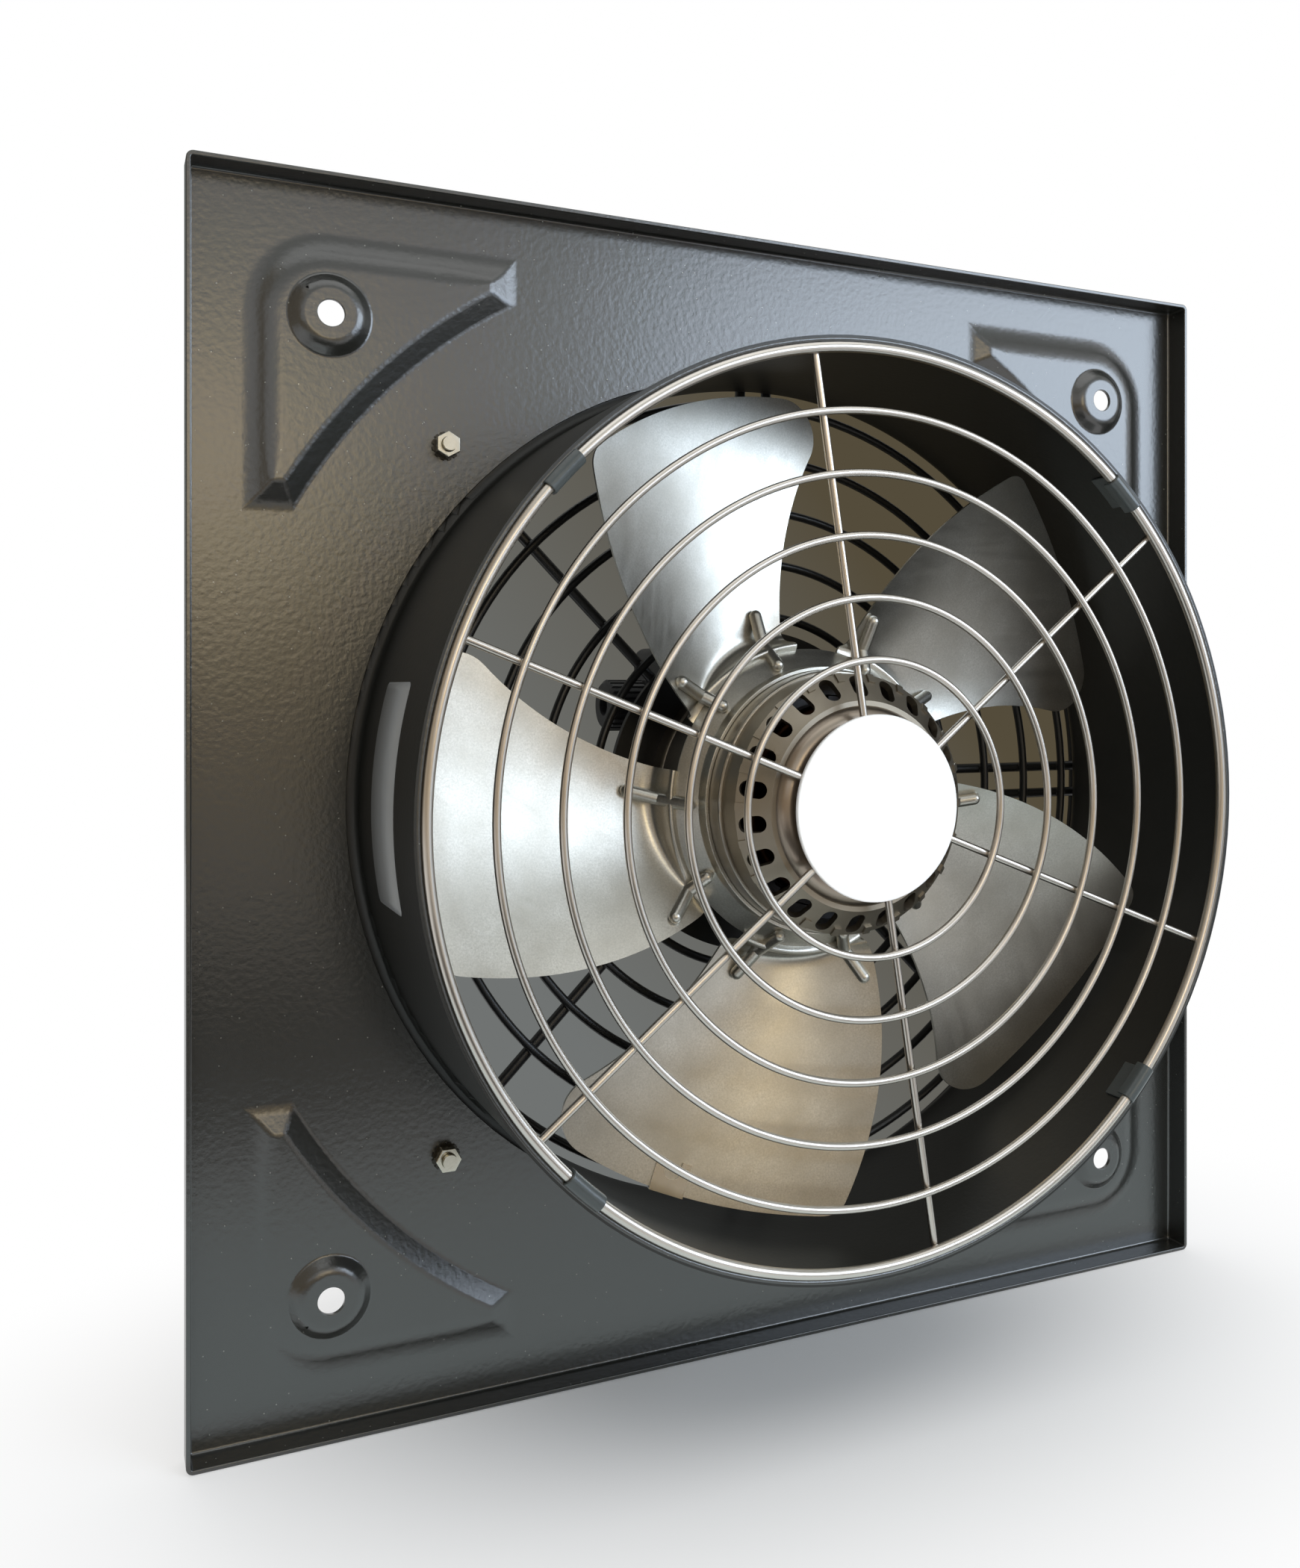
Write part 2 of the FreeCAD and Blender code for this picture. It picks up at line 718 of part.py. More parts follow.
# Ball bearings
def bearing(y):
    """Outer ring, inner ring, balls and cage of a bearing whose front is at a depth."""
    middle = y + bearing_width / 2
    groove = Part.makeTorus(ball_circle, ball_radius + ball_clearance, Vector(0, middle, 0), Y_AXIS)
    outer = tube(bearing_radius, bearing_radius - bearing_race_wall, y, y + bearing_width).cut(groove)
    inner = tube(shaft_radius + bearing_race_wall, shaft_radius, y, y + bearing_width).cut(groove)
    balls = ring_of(Part.makeSphere(ball_radius, at(ball_circle, 0.0, middle)), ball_count)
    pocket = rod(at(ball_circle - cage_ring_wall, 0.0, middle), at(ball_circle + cage_ring_wall, 0.0, middle),
                 ball_radius + cage_pocket_clearance)
    half = ball_radius + cage_ring_margin
    cage = tube(ball_circle + cage_ring_wall / 2, ball_circle - cage_ring_wall / 2,
                middle - half, middle + half)
    cage = cage.cut(ring_of(pocket, ball_count))
    return {"outer": outer, "inner": inner, "balls": group(balls), "cage": cage}


# Rotor shell, its slotted cap and the domed cover
def rotor_shell():
    """Steel sleeve that carries the impeller."""
    shell = tube(rotor_radius, shell_inner, shell_y, rotor_back_y)
    rim = [edge for edge in edges_at_y(shell, shell_y) if edge.BoundBox.XMax > shell_inner + shell_wall / 2]
    return shell.makeFillet(shell_edge_radius, rim)


def rotor_cage():
    """Laminated ring with the squirrel cage, inside the shell."""
    return tube(shell_inner, rotor_inner, stator_y - cage_overhang, stator_back_y + cage_overhang)


def on_shoulder(shape, along):
    """Shape made flat at the origin, laid on the cap's sloping shoulder at angle 0."""
    out = Vector(cap_shoulder_width / cap_slope, cap_shoulder_height / cap_slope, 0)
    normal = Vector(cap_shoulder_height / cap_slope, -cap_shoulder_width / cap_slope, 0)
    center = Vector((cap_side + cap_brow) / 2, (cap_rim_y + cap_y) / 2, 0) + out * along
    return placed(shape, center, out, normal.cross(out), normal)


def placed(shape, center, x_axis, y_axis, z_axis):
    """Copy of a shape, laid along three given axes."""
    copy = shape.copy()
    copy.Placement = FreeCAD.Placement(FreeCAD.Matrix(
        x_axis.x, y_axis.x, z_axis.x, center.x,
        x_axis.y, y_axis.y, z_axis.y, center.y,
        x_axis.z, y_axis.z, z_axis.z, center.z,
        0, 0, 0, 1))
    return copy


def slotted_cap():
    """Cast end of the rotor, with cooling slots round its sloping shoulder."""
    knee_y = cap_rim_y + cap_wall * (cap_slope - cap_shoulder_height) / cap_shoulder_width
    knee_radius = cap_brow - cap_wall * (cap_slope - cap_shoulder_width) / cap_shoulder_height
    skirt_y = shell_y + cap_skirt_depth
    cap = lathe([
        (shell_inner, skirt_y), (shell_inner, shell_y), (cap_side, shell_y), (cap_side, cap_rim_y),
        (cap_brow, cap_y), (cap_seat, cap_y), (cap_seat, cap_y + cap_wall), (knee_radius, cap_y + cap_wall),
        (cap_side - cap_wall, knee_y), (shell_inner - cap_wall, skirt_y),
    ])
    straight = slot_length - slot_width
    depth = cap_shoulder_height
    slot = block(-straight / 2, straight / 2, -slot_width / 2, slot_width / 2, -depth / 2, depth / 2)
    for end in (-straight / 2, straight / 2):
        slot = slot.fuse(Part.makeCylinder(slot_width / 2, depth, Vector(end, 0, -depth / 2)))
    pad = block(-rib_pad_length / 2, rib_pad_length / 2, -rib_pad_width / 2, rib_pad_width / 2,
                -cap_wall / 2, rib_pad_height)
    pad = on_shoulder(pad, (cap_slope - rib_pad_length) / 2)
    pads = ring_of(pad, slot_count, slot_phase + 180.0 / slot_count)
    slots = ring_of(on_shoulder(slot, slot_offset), slot_count, slot_phase)
    return cap.fuse(pads).cut(slots)


def hub_dome():
    """Smooth cover in the cap's bore, with the boss that holds the shaft."""
    brim = cap_seat + dome_overhang
    inside = cap_seat - dome_wall
    flat = brim - dome_round_width
    bend = (dome_round_width ** 2 + dome_height ** 2) / (2 * dome_height)
    half = math.asin(dome_round_width / bend) / 2
    middle = (flat + bend * math.sin(half), dome_y + bend * (1 - math.cos(half)))
    spigot_y = cap_y + dome_spigot_depth
    inside_y = dome_y + dome_wall
    edges = lines([(0.0, dome_y), (flat, dome_y)])
    edges.append(arc((flat, dome_y), middle, (brim, cap_y)))
    edges += lines([
        (brim, cap_y), (cap_seat, cap_y), (cap_seat, spigot_y), (inside, spigot_y), (inside, inside_y),
        (dome_boss_radius, inside_y), (dome_boss_radius, dome_boss_y), (shaft_radius, dome_boss_y),
        (shaft_radius, shaft_y), (0.0, shaft_y), (0.0, dome_y),
    ])
    return revolved(edges)


def shaft_parts():
    """Shaft, the spacer in front of its bearings and the circlip behind them, by node name."""
    clip_y = rear_bearing_y + bearing_width + circlip_gap
    clip_back_y = clip_y + circlip_thickness
    groove_radius = shaft_radius - circlip_groove_depth
    groove = tube(shaft_radius, groove_radius, clip_y, clip_back_y)
    shaft = cylinder(shaft_radius, shaft_y, clip_back_y + shaft_tail).cut(groove)
    spacer = tube(shaft_radius + spacer_wall, shaft_radius, dome_boss_y, front_bearing_y)
    circlip = tube(shaft_radius + circlip_wall, groove_radius, clip_y, clip_back_y)
    mouth = block(0.0, bearing_radius, clip_y, clip_back_y, -circlip_mouth / 2, circlip_mouth / 2)
    return {"shaft": shaft, "shaft_spacer": spacer, "shaft_circlip": circlip.cut(mouth)}


# Impeller
def hub_ring():
    """Pressed collar on the rotor shell that flares out to the blades."""
    skin = hub_sheet / math.sqrt(2)
    return lathe([
        (rotor_radius, hub_y), (hub_collar_radius, hub_y), (hub_collar_radius, flare_y),
        (hub_edge_radius, hub_edge_y), (hub_edge_radius - skin, hub_edge_y + skin),
        (rotor_radius, flare_y + 2 * skin - hub_sheet),
    ])


def through(root, middle, tip, share):
    """Smooth value that passes through a root, a middle and a tip value."""
    return root + share * (4 * middle - 3 * root - tip) + share ** 2 * (2 * root + 2 * tip - 4 * middle)


def blade_share(radius):
    """How far a radius lies from the blade's root to its tip, from 0 to 1."""
    return (radius - blade_root) / (blade_tip - blade_root)


def front_edge_angle(radius):
    """Angle of the first blade's front edge."""
    return blade_phase - blade_front_sweep * blade_share(radius)


def rear_edge_angle(radius):
    """Angle of the first blade's rear edge."""
    sweep = blade_rear_sweep * max(blade_share(radius), 0.0) ** blade_rear_sweep_power
    return blade_phase - blade_span_angle - sweep


def blade_point(radius, angle):
    """Point on the first blade's front face."""
    front = front_edge_angle(radius)
    across = (front - angle) / (front - rear_edge_angle(radius))
    share = blade_share(radius)
    start = through(blade_front_root, blade_front_mid, blade_front_tip, share)
    end = through(blade_rear_root, blade_rear_mid, blade_rear_tip, share)
    depth = start + (end - start) * across + 4 * blade_camber * across * (1 - across)
    neck = min(max((radius - blade_root) / blade_neck_length, 0.0), 1.0)
    return at(radius, angle, hub_edge_y + depth * neck ** 2 * (3 - 2 * neck))


def spaced(start, end, count):
    """Evenly spaced values from a start to an end."""
    return [start + (end - start) * index / (count - 1) for index in range(count)]


def blade_edge(edge_angle, y):
    """Flat curve along one edge of the first blade."""
    radii = spaced(blade_root, blade_tip, blade_edge_points)
    curve = Part.BSplineCurve()
    curve.interpolate([at(radius, edge_angle(radius), y) for radius in radii])
    return curve.toShape()


def blade_outline(front, back):
    """Prism along Y with the first blade's outline and its rounded tip corners."""
    arcs = []
    for radius in (blade_root, blade_tip):
        first = front_edge_angle(radius)
        last = rear_edge_angle(radius)
        ends = [at(radius, angle, front) for angle in (first, (first + last) / 2, last)]
        arcs.append(Part.Arc(*ends).toShape())
    sides = [blade_edge(front_edge_angle, front), blade_edge(rear_edge_angle, front)]
    wire = Part.Wire(Part.__sortEdges__(arcs + sides))
    prism = Part.Face(wire).extrude(Vector(0, back - front, 0))
    for angle, corner in ((front_edge_angle(blade_tip), blade_front_corner),
                          (rear_edge_angle(blade_tip), blade_rear_corner)):
        place = at(blade_tip, angle, front)
        edges = [edge for edge in edges_along_y(prism)
                 if math.hypot(edge.Vertexes[0].X - place.x, edge.Vertexes[0].Z - place.z) < TOLERANCE]
        prism = prism.makeFillet(corner, edges)
    return prism


def blade_sheet_solid():
    """Twisted and cambered sheet, a little larger than the blade."""
    rows = []
    for radius in spaced(blade_root - blade_root_overlap, blade_tip + blade_tip_gap / 2, blade_rows):
        first = front_edge_angle(radius)
        last = rear_edge_angle(radius)
        margin = (first - last) / blade_columns
        rows.append([blade_point(radius, angle)
                     for angle in spaced(first + margin, last - margin, blade_columns)])
    surface = Part.BSplineSurface()
    surface.interpolate(rows)
    return outward(surface.toShape().extrude(Vector(0, blade_sheet, 0)))


def root_rib(angle, splay):
    """Rounded rib pressed across the fold between the hub ring and a blade."""
    rise = Vector(0, blade_sheet - rib_radius - rib_cover, 0)
    inner = hub_edge_radius - rib_inner_setback
    points = [at(inner, blade_phase - angle, hub_edge_y - rib_inner_setback) + rise]
    for length in (rib_elbow_length, rib_length):
        turn = blade_phase - angle - splay * length / rib_length
        points.append(blade_point(inner + length, turn) + rise)
    start, elbow, end = points
    return capsule(start, elbow, rib_radius).fuse(capsule(elbow, end, rib_radius))


def blade():
    """First blade with its two root ribs."""
    sheet = blade_sheet_solid()
    box = sheet.BoundBox
    sheet = sheet.common(blade_outline(box.YMin - blade_sheet, box.YMax + blade_sheet))
    sheet = sheet.fuse(root_rib(rib_front_angle, -rib_splay))
    sheet = sheet.fuse(root_rib(rib_rear_angle, rib_splay))
    return sheet.cut(hub_ring())


def balance_clip():
    """Spring clip pushed over one blade's tip, with two prongs on the front."""
    angle = front_edge_angle(blade_tip) - clip_angle_after_front
    tip = blade_point(blade_tip, angle)
    out = tip - blade_point(blade_tip - clip_reach, angle)
    across = blade_point(blade_tip, angle + math.degrees(clip_width / blade_tip)) - tip
    out.normalize()
    normal = across.cross(out)
    normal.normalize()
    if normal.y > 0:
        normal = normal * -1
    side = out.cross(normal)
    half = clip_width / 2
    near = clip_blade_gap
    far = near + clip_sheet
    back = blade_sheet + clip_blade_gap
    front_leaf = block(-half, half, -clip_reach, far, near, far)
    back_leaf = block(-half, half, -clip_reach, far, -back - clip_sheet, -back)
    bend = block(-half, half, near, far, -back - clip_sheet, far)
    gap = half - clip_prong_width
    notch_end = clip_notch_depth - gap - clip_reach
    notch = block(-gap, gap, -clip_reach, notch_end, near, far)
    notch = notch.fuse(Part.makeCylinder(gap, clip_sheet, Vector(0, notch_end, near)))
    clip = front_leaf.fuse([back_leaf, bend]).cut(notch)
    return turned(placed(clip, tip, side, out, normal), 360.0 * clip_blade / blade_count)


# Terminal box behind the motor
box_left = box_center_x - box_width / 2
box_right = box_center_x + box_width / 2
box_low = -(box_screw_radius + lid_head_diameter / 2 + box_screw_room + box_wall)
box_high = box_low + box_height
box_center_z = box_low + box_height / 2
gland_y = box_y + box_depth / 2
gland_z = box_high - gland_inset


def rounded_block(inset, front, back):
    """Block with the box's outline, drawn in, and rounded upright edges."""
    solid = block(box_left + inset, box_right - inset, front, back, box_low + inset, box_high - inset)
    return solid.makeFillet(box_corner - inset, edges_along_y(solid))


def box_corners():
    """Places of the four lid screws, as X and Z."""
    return [(x, z) for x in (box_left + box_post_inset, box_right - box_post_inset)
            for z in (box_low + box_post_inset, box_high - box_post_inset)]


def terminal_box():
    """Open box with a post in each corner."""
    shell = rounded_block(0.0, box_y, box_back_y).cut(rounded_block(box_wall, box_y + box_wall, box_back_y))
    posts = [cylinder(box_post_radius, box_y, box_back_y, x, z) for x, z in box_corners()]
    screw_front = box_back_y + box_lid_thickness - lid_head_recess - lid_screw_length
    holes = [cylinder(lid_screw_diameter / 2, screw_front, box_back_y, x, z) for x, z in box_corners()]
    holes += ring_of(box_screw_hole(), box_screw_count)
    holes.append(cylinder(wire_hole_radius, box_y, box_y + box_wall))
    holes.append(bar_x(gland_thread_diameter / 2, box_left, box_left + box_wall))
    return shell.fuse(posts).cut(holes)


def box_lid():
    """Flat lid with a sunk screw hole in each corner."""
    back = box_back_y + box_lid_thickness
    recess = back - lid_head_recess
    lid = rounded_block(0.0, box_back_y, back)
    holes = [cylinder(lid_screw_diameter / 2, box_back_y, back, x, z) for x, z in box_corners()]
    holes += [cylinder(lid_head_diameter / 2, recess, back, x, z) for x, z in box_corners()]
    return lid.cut(holes)


def lid_screws():
    """Four screws sunk in the lid."""
    recess = box_back_y + box_lid_thickness - lid_head_recess
    screw = slotted_screw(lid_screw_diameter / 2, lid_screw_length, lid_head_diameter / 2,
                          lid_head_recess, recess)
    return [moved(screw, x, 0, z) for x, z in box_corners()]


def box_screw():
    """Screw from inside the box into the base's boss."""
    screw = slotted_screw(lid_screw_diameter / 2, box_screw_length, lid_head_diameter / 2, box_screw_head,
                          box_y + box_wall)
    return moved(screw, 0, 0, box_screw_radius)


def capacitor():
    """Run capacitor, lying on the box's floor."""
    radius = capacitor_diameter / 2
    x = box_right - box_wall - capacitor_wall_gap - radius
    start = Vector(x, box_y + box_wall + radius, box_center_z - capacitor_length / 2)
    return Part.makeCylinder(radius, capacitor_length, start, Z_AXIS)


# Cable gland in the box's left wall
def bar_x(radius, x0, x1):
    """Cylinder along X on the gland's axis."""
    return Part.makeCylinder(radius, x1 - x0, Vector(x0, gland_y, gland_z), X_AXIS)


def hexagon_x(across_flats, x0, x1):
    """Hexagonal prism along X on the gland's axis."""
    radius = across_flats / math.sqrt(3)
    corners = []
    for side in range(HEX_SIDES + 1):
        turn = math.tau * side / HEX_SIDES
        corners.append(Vector(x0, gland_y + radius * math.cos(turn), gland_z + radius * math.sin(turn)))
    return Part.Face(Part.makePolygon(corners)).extrude(Vector(x1 - x0, 0, 0))


def gland():
    """Body, lock nut, ribbed nut and seal of the cable gland, by node name."""
    thread = gland_thread_diameter / 2
    neck = thread - gland_neck_step
    entry = cable_entry_diameter / 2
    inside = box_left + box_wall
    hex_x = box_left - gland_hex_length
    neck_x = hex_x - gland_neck_length
    nut_x = hex_x - gland_nut_gap
    end_x = nut_x - gland_nut_length
    seal_x = end_x + gland_nut_end
    body = bar_x(thread, box_left, inside + gland_thread_inside).fuse(bar_x(neck, neck_x, hex_x))
    body = body.fuse(hexagon_x(gland_across_flats, hex_x, box_left))
    body = body.cut(bar_x(entry, neck_x, inside + gland_thread_inside))
    lock_nut = hexagon_x(gland_across_flats, inside, inside + gland_locknut_length)
    lock_nut = lock_nut.cut(bar_x(thread, inside, inside + gland_locknut_length))
    nut = bar_x(gland_nut_radius, end_x, nut_x)
    mouth = [edge for edge in nut.Edges if edge.BoundBox.XMax < end_x + TOLERANCE]
    nut = nut.makeChamfer(gland_nut_chamfer, mouth)
    nut = nut.cut([bar_x(neck, seal_x, nut_x), bar_x(entry, end_x, seal_x)])
    for index in range(gland_rib_count):
        groove = moved(bar_x(gland_rib_radius, end_x, nut_x), 0, gland_nut_radius, 0)
        groove.rotate(Vector(0, gland_y, gland_z), X_AXIS, 360.0 * index / gland_rib_count)
        nut = nut.cut(groove)
    seal = bar_x(neck - gland_seal_gap, seal_x, neck_x - gland_seal_gap).cut(bar_x(entry, seal_x, neck_x))
    return {"gland_body": body, "gland_lock_nut": lock_nut, "gland_nut": nut, "gland_seal": seal}


def all_nodes():
    """Every node of the fan by name."""
    nodes = {
        "wall_plate": wall_plate(),
        "duct_ring": duct_ring(),
        "guard_clips": group(ring_of(guard_clip(), guard_clip_count, guard_clip_phase)),
        "front_guard_rim": hoop(rim_radius, front_rim_diameter, front_ring_y),
        "front_guard_spokes": group(ring_of(front_spoke(), front_spoke_count, front_spoke_phase)),
        "front_guard_badge": guard_badge(),
        "rear_guard_rim": hoop(rear_rim_radius, rear_spoke_diameter, rear_rim_y),
        "rear_guard_legs": group(ring_of(rear_leg(), corner_count)),
        "rear_guard_pairs": group([wire for spoke in rear_pair() for wire in ring_of(spoke, pair_count)]),
        "motor_plate": motor_plate(),
        "motor_base": motor_base(),
        "motor_screws": group(ring_of(motor_screw(), motor_screw_count)),
        "stator_core": stator_core(),
        "stator_windings": stator_windings(),
        "rotor_shell": rotor_shell(),
        "rotor_cage": rotor_cage(),
        "slotted_cap": slotted_cap(),
        "hub_dome": hub_dome(),
        "hub_ring": hub_ring(),
        "balance_clip": balance_clip(),
        "terminal_box": terminal_box(),
        "terminal_box_lid": box_lid(),
        "terminal_lid_screws": group(lid_screws()),
        "terminal_box_screws": group(ring_of(box_screw(), box_screw_count)),
        "capacitor": capacitor(),
    }
    for index, ring in enumerate(front_rings(), 1):
        nodes["front_guard_ring_" + str(index)] = ring
    for index, ring in enumerate(rear_rings(), 1):
        nodes["rear_guard_ring_" + str(index)] = ring
    for index, piece in enumerate(ring_of(blade(), blade_count), 1):
        nodes["blade_" + str(index)] = piece
    for place, y in (("front", front_bearing_y), ("rear", rear_bearing_y)):
        for piece, shape in bearing(y).items():
            nodes[place + "_bearing_" + piece] = shape
    nodes.update(guard_fasteners())
    nodes.update(shaft_parts())
    nodes.update(gland())
    return nodes


os.makedirs("parts", exist_ok=True)
for node, solid in all_nodes().items():
    export(node, solid)
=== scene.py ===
import math

import bmesh
import bpy
from mathutils import Matrix, Vector


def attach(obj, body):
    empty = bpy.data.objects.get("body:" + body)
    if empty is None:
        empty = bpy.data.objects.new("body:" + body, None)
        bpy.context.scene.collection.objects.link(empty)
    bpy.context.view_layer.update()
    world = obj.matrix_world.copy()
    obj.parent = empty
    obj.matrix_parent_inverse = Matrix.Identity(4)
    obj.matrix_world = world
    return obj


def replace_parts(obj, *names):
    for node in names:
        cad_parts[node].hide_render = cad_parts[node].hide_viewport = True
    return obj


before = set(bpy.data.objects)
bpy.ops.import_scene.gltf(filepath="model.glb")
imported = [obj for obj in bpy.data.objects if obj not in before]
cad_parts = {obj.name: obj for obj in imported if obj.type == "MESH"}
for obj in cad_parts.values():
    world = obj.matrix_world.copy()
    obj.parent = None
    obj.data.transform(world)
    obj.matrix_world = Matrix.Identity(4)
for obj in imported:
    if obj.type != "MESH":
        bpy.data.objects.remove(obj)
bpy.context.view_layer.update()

# Wall plate: a square of 1.5 mm steel sheet with its rim folded forward, four raised corner pads and a
# bolt boss on each pad. It is pressed in one stroke, which leaves every edge rounded, and powder coated.
mm = 0.001
sheet_front, sheet_thickness = 6.4 * mm, 1.5 * mm
boss_place = 165 * mm
pad_side_top, pad_tip, pad_arc_middle = 183.5 * mm, 108.5 * mm, 206.5 * mm
rim_starts, rim_round = 200 * mm, 0.35 * mm
duct_hole_ends, bolt_hole_ends, cut_round = 180 * mm, 6 * mm, 0.25 * mm
boss_top_ends, boss_top_round = 12 * mm, 1.8 * mm
boss_foot_ends, boss_foot_round = 16 * mm, 0.6 * mm
pad_corner_round = 1.2 * mm
pad_tip_foot_round, pad_tip_top_round = 2.4 * mm, 1.2 * mm
pad_arc_band, pad_arc_foot_round, pad_arc_top_round = 5.5 * mm, 0.9 * mm, 1.2 * mm
pad_side_narrow, widest_round, pad_side_grows = 0.8 * mm, 3.4 * mm, 14 * mm
pad_side_shortest, pad_side_cuts = 30 * mm, 7
same_point, same_level = 0.002 * mm, 0.1 * mm
dust_spacing, dust_size = 4 * mm, 0.24 * mm
# A Mix node's colour sockets share their names with others, so they go by number.
mix_share, mix_from, mix_to = 0, 6, 7


def tint(hex_code):
    """An sRGB hex colour as the linear colour that a shader takes."""
    channels = [int(hex_code[i:i + 2], 16) / 255 for i in (1, 3, 5)]
    return [c / 12.92 if c <= 0.04045 else ((c + 0.055) / 1.055) ** 2.4 for c in channels] + [1.0]


def add(tree, kind, inputs=None, **settings):
    """Adds a node, sets it up and fills or links its inputs."""
    node = tree.nodes.new(kind)
    for name, value in settings.items():
        setattr(node, name, value)
    for socket, value in (inputs or {}).items():
        if isinstance(value, bpy.types.NodeSocket):
            tree.links.new(value, node.inputs[socket])
        else:
            node.inputs[socket].default_value = value
    return node


def start_finish(name, dark, light, patch, roughness, metallic=0.0, grain=None, depth=0.0):
    """A finish of two near tones in soft patches, with a fine grain that makes the surface uneven."""
    material = bpy.data.materials.new(name)
    material.use_nodes = True
    tree = material.node_tree
    shader = tree.nodes["Principled BSDF"]
    place = add(tree, "ShaderNodeTexCoord").outputs["Object"]
    patches = add(tree, "ShaderNodeTexNoise", {"Vector": place, "Scale": 1 / patch, "Detail": 3.0})
    tone = add(tree, "ShaderNodeMix", {
        mix_share: patches.outputs[0], mix_from: tint(dark), mix_to: tint(light)}, data_type="RGBA")
    tree.links.new(tone.outputs[2], shader.inputs["Base Color"])
    shader.inputs["Metallic"].default_value = metallic
    shader.inputs["Roughness"].default_value = roughness
    if grain:
        grains = add(tree, "ShaderNodeTexNoise", {"Vector": place, "Scale": 1 / grain, "Detail": 2.0})
        bump = add(tree, "ShaderNodeBump", {"Height": grains.outputs[0], "Distance": depth})
        tree.links.new(bump.outputs["Normal"], shader.inputs["Normal"])
    return material


def nodes_of(material):
    """A finish's tree, shader and place on the piece, for what is added to it."""
    tree = material.node_tree
    return tree, tree.nodes["Principled BSDF"], tree.nodes["Texture Coordinate"].outputs["Object"]


# Grey powder coat, baked on: dark, smooth satin with a slight orange peel that breaks up what it mirrors,
# and a few pale specks of dust.
coat_grey = start_finish("grey_powder_coat", "#1d1e1b", "#242522", patch=90 * mm, roughness=0.27,
                         grain=2.0 * mm, depth=0.09 * mm)
tree, shader, place = nodes_of(coat_grey)
shader.inputs["IOR"].default_value = 1.85
cells = add(tree, "ShaderNodeTexVoronoi", {"Vector": place, "Scale": 1 / dust_spacing})
dusty = add(tree, "ShaderNodeMath", {0: cells.outputs["Distance"], 1: dust_size / dust_spacing},
            operation="LESS_THAN")
clean_tone = shader.inputs["Base Color"].links[0].from_socket
dusty_tone = add(tree, "ShaderNodeMix", {
    mix_share: dusty.outputs[0], mix_from: clean_tone, mix_to: tint("#74756f")}, data_type="RGBA")
tree.links.new(dusty_tone.outputs[2], shader.inputs["Base Color"])


def merged_copy(node, name, cuts=()):
    """A copy of a solid's mesh as one joined skin, cut by planes through the axis, open for shaping."""
    piece = bpy.data.objects.new(name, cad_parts[node].data.copy())
    bpy.context.scene.collection.objects.link(piece)
    if "custom_normal" in piece.data.attributes:
        piece.data.attributes.remove(piece.data.attributes["custom_normal"])
    shape = bmesh.new()
    shape.from_mesh(piece.data)
    bmesh.ops.remove_doubles(shape, verts=shape.verts, dist=same_point)
    for across in cuts:
        whole = shape.verts[:] + shape.edges[:] + shape.faces[:]
        bmesh.ops.bisect_plane(shape, geom=whole, dist=5 * same_point, plane_co=(0, 0, 0), plane_no=across)
    for edge in shape.edges:
        edge.seam = any(max(abs(v.co.dot(across)) for v in edge.verts) < 10 * same_point
                        for across in cuts)
    bmesh.ops.dissolve_limit(shape, angle_limit=math.radians(0.4), verts=shape.verts, edges=shape.edges,
                             delimit={"SEAM"})
    for face in shape.faces:
        face.smooth = True
    for edge in shape.edges:
        edge.smooth = True
    return piece, shape


plate, shape = merged_copy("wall_plate", "pressed_plate", [Vector((1, 0, 1)), Vector((1, 0, -1))])
pad_sides = [edge for edge in shape.edges if edge.calc_length() > pad_side_shortest and all(
    abs(max(abs(v.co.x), abs(v.co.z)) - pad_side_top) < 5 * same_point for v in edge.verts)]
bmesh.ops.bisect_edges(shape, edges=pad_sides, cuts=pad_side_cuts)
weights = shape.edges.layers.float.new("bevel_weight_edge")


def graded(place, start, end, low, high):
    """A width that grows from low to high between two places."""
    return low + (high - low) * min(max((place - start) / (end - start), 0.0), 1.0)


for edge in shape.edges:
    if len(edge.link_faces) != 2 or edge.calc_face_angle(0) < math.radians(9):
        continue
    middle = (edge.verts[0].co + edge.verts[1].co) / 2
    side, reach = sorted((abs(middle.x), abs(middle.z)), reverse=True)
    from_boss = math.hypot(side - boss_place, reach - boss_place)
    from_axis = math.hypot(side, reach)
    along = (edge.verts[1].co - edge.verts[0].co).normalized()
    outward = abs(along.x if abs(middle.x) > abs(middle.z) else along.z)
    at_foot = any(abs(middle.y - level) < same_level
                  for level in (sheet_front, sheet_front + sheet_thickness))
    if side > rim_starts:
        width = rim_round
    elif from_axis < duct_hole_ends or from_boss < bolt_hole_ends:
        width = cut_round
    elif from_boss < boss_top_ends:
        width = boss_top_round
    elif from_boss < boss_foot_ends:
        width = boss_foot_round
    elif abs(along.y) > 0.2:
        width = pad_corner_round
    elif reach < pad_tip + 1 * mm and outward > 0.9:
        width = pad_tip_foot_round if at_foot else pad_tip_top_round
    elif abs(from_axis - pad_arc_middle) < pad_arc_band:
        width = pad_arc_foot_round if at_foot else pad_arc_top_round
    elif at_foot:
        width = widest_round
    else:
        width = graded(reach, pad_tip, pad_tip + pad_side_grows, pad_side_narrow, widest_round)
    edge[weights] = width / widest_round


def close_copy(piece, shape, node, body, material):
    """Ends the shaping and puts the piece in the solid's place."""
    shape.to_mesh(piece.data)
    shape.free()
    piece.data.materials.clear()
    piece.data.materials.append(material)
    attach(piece, body)
    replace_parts(piece, node)


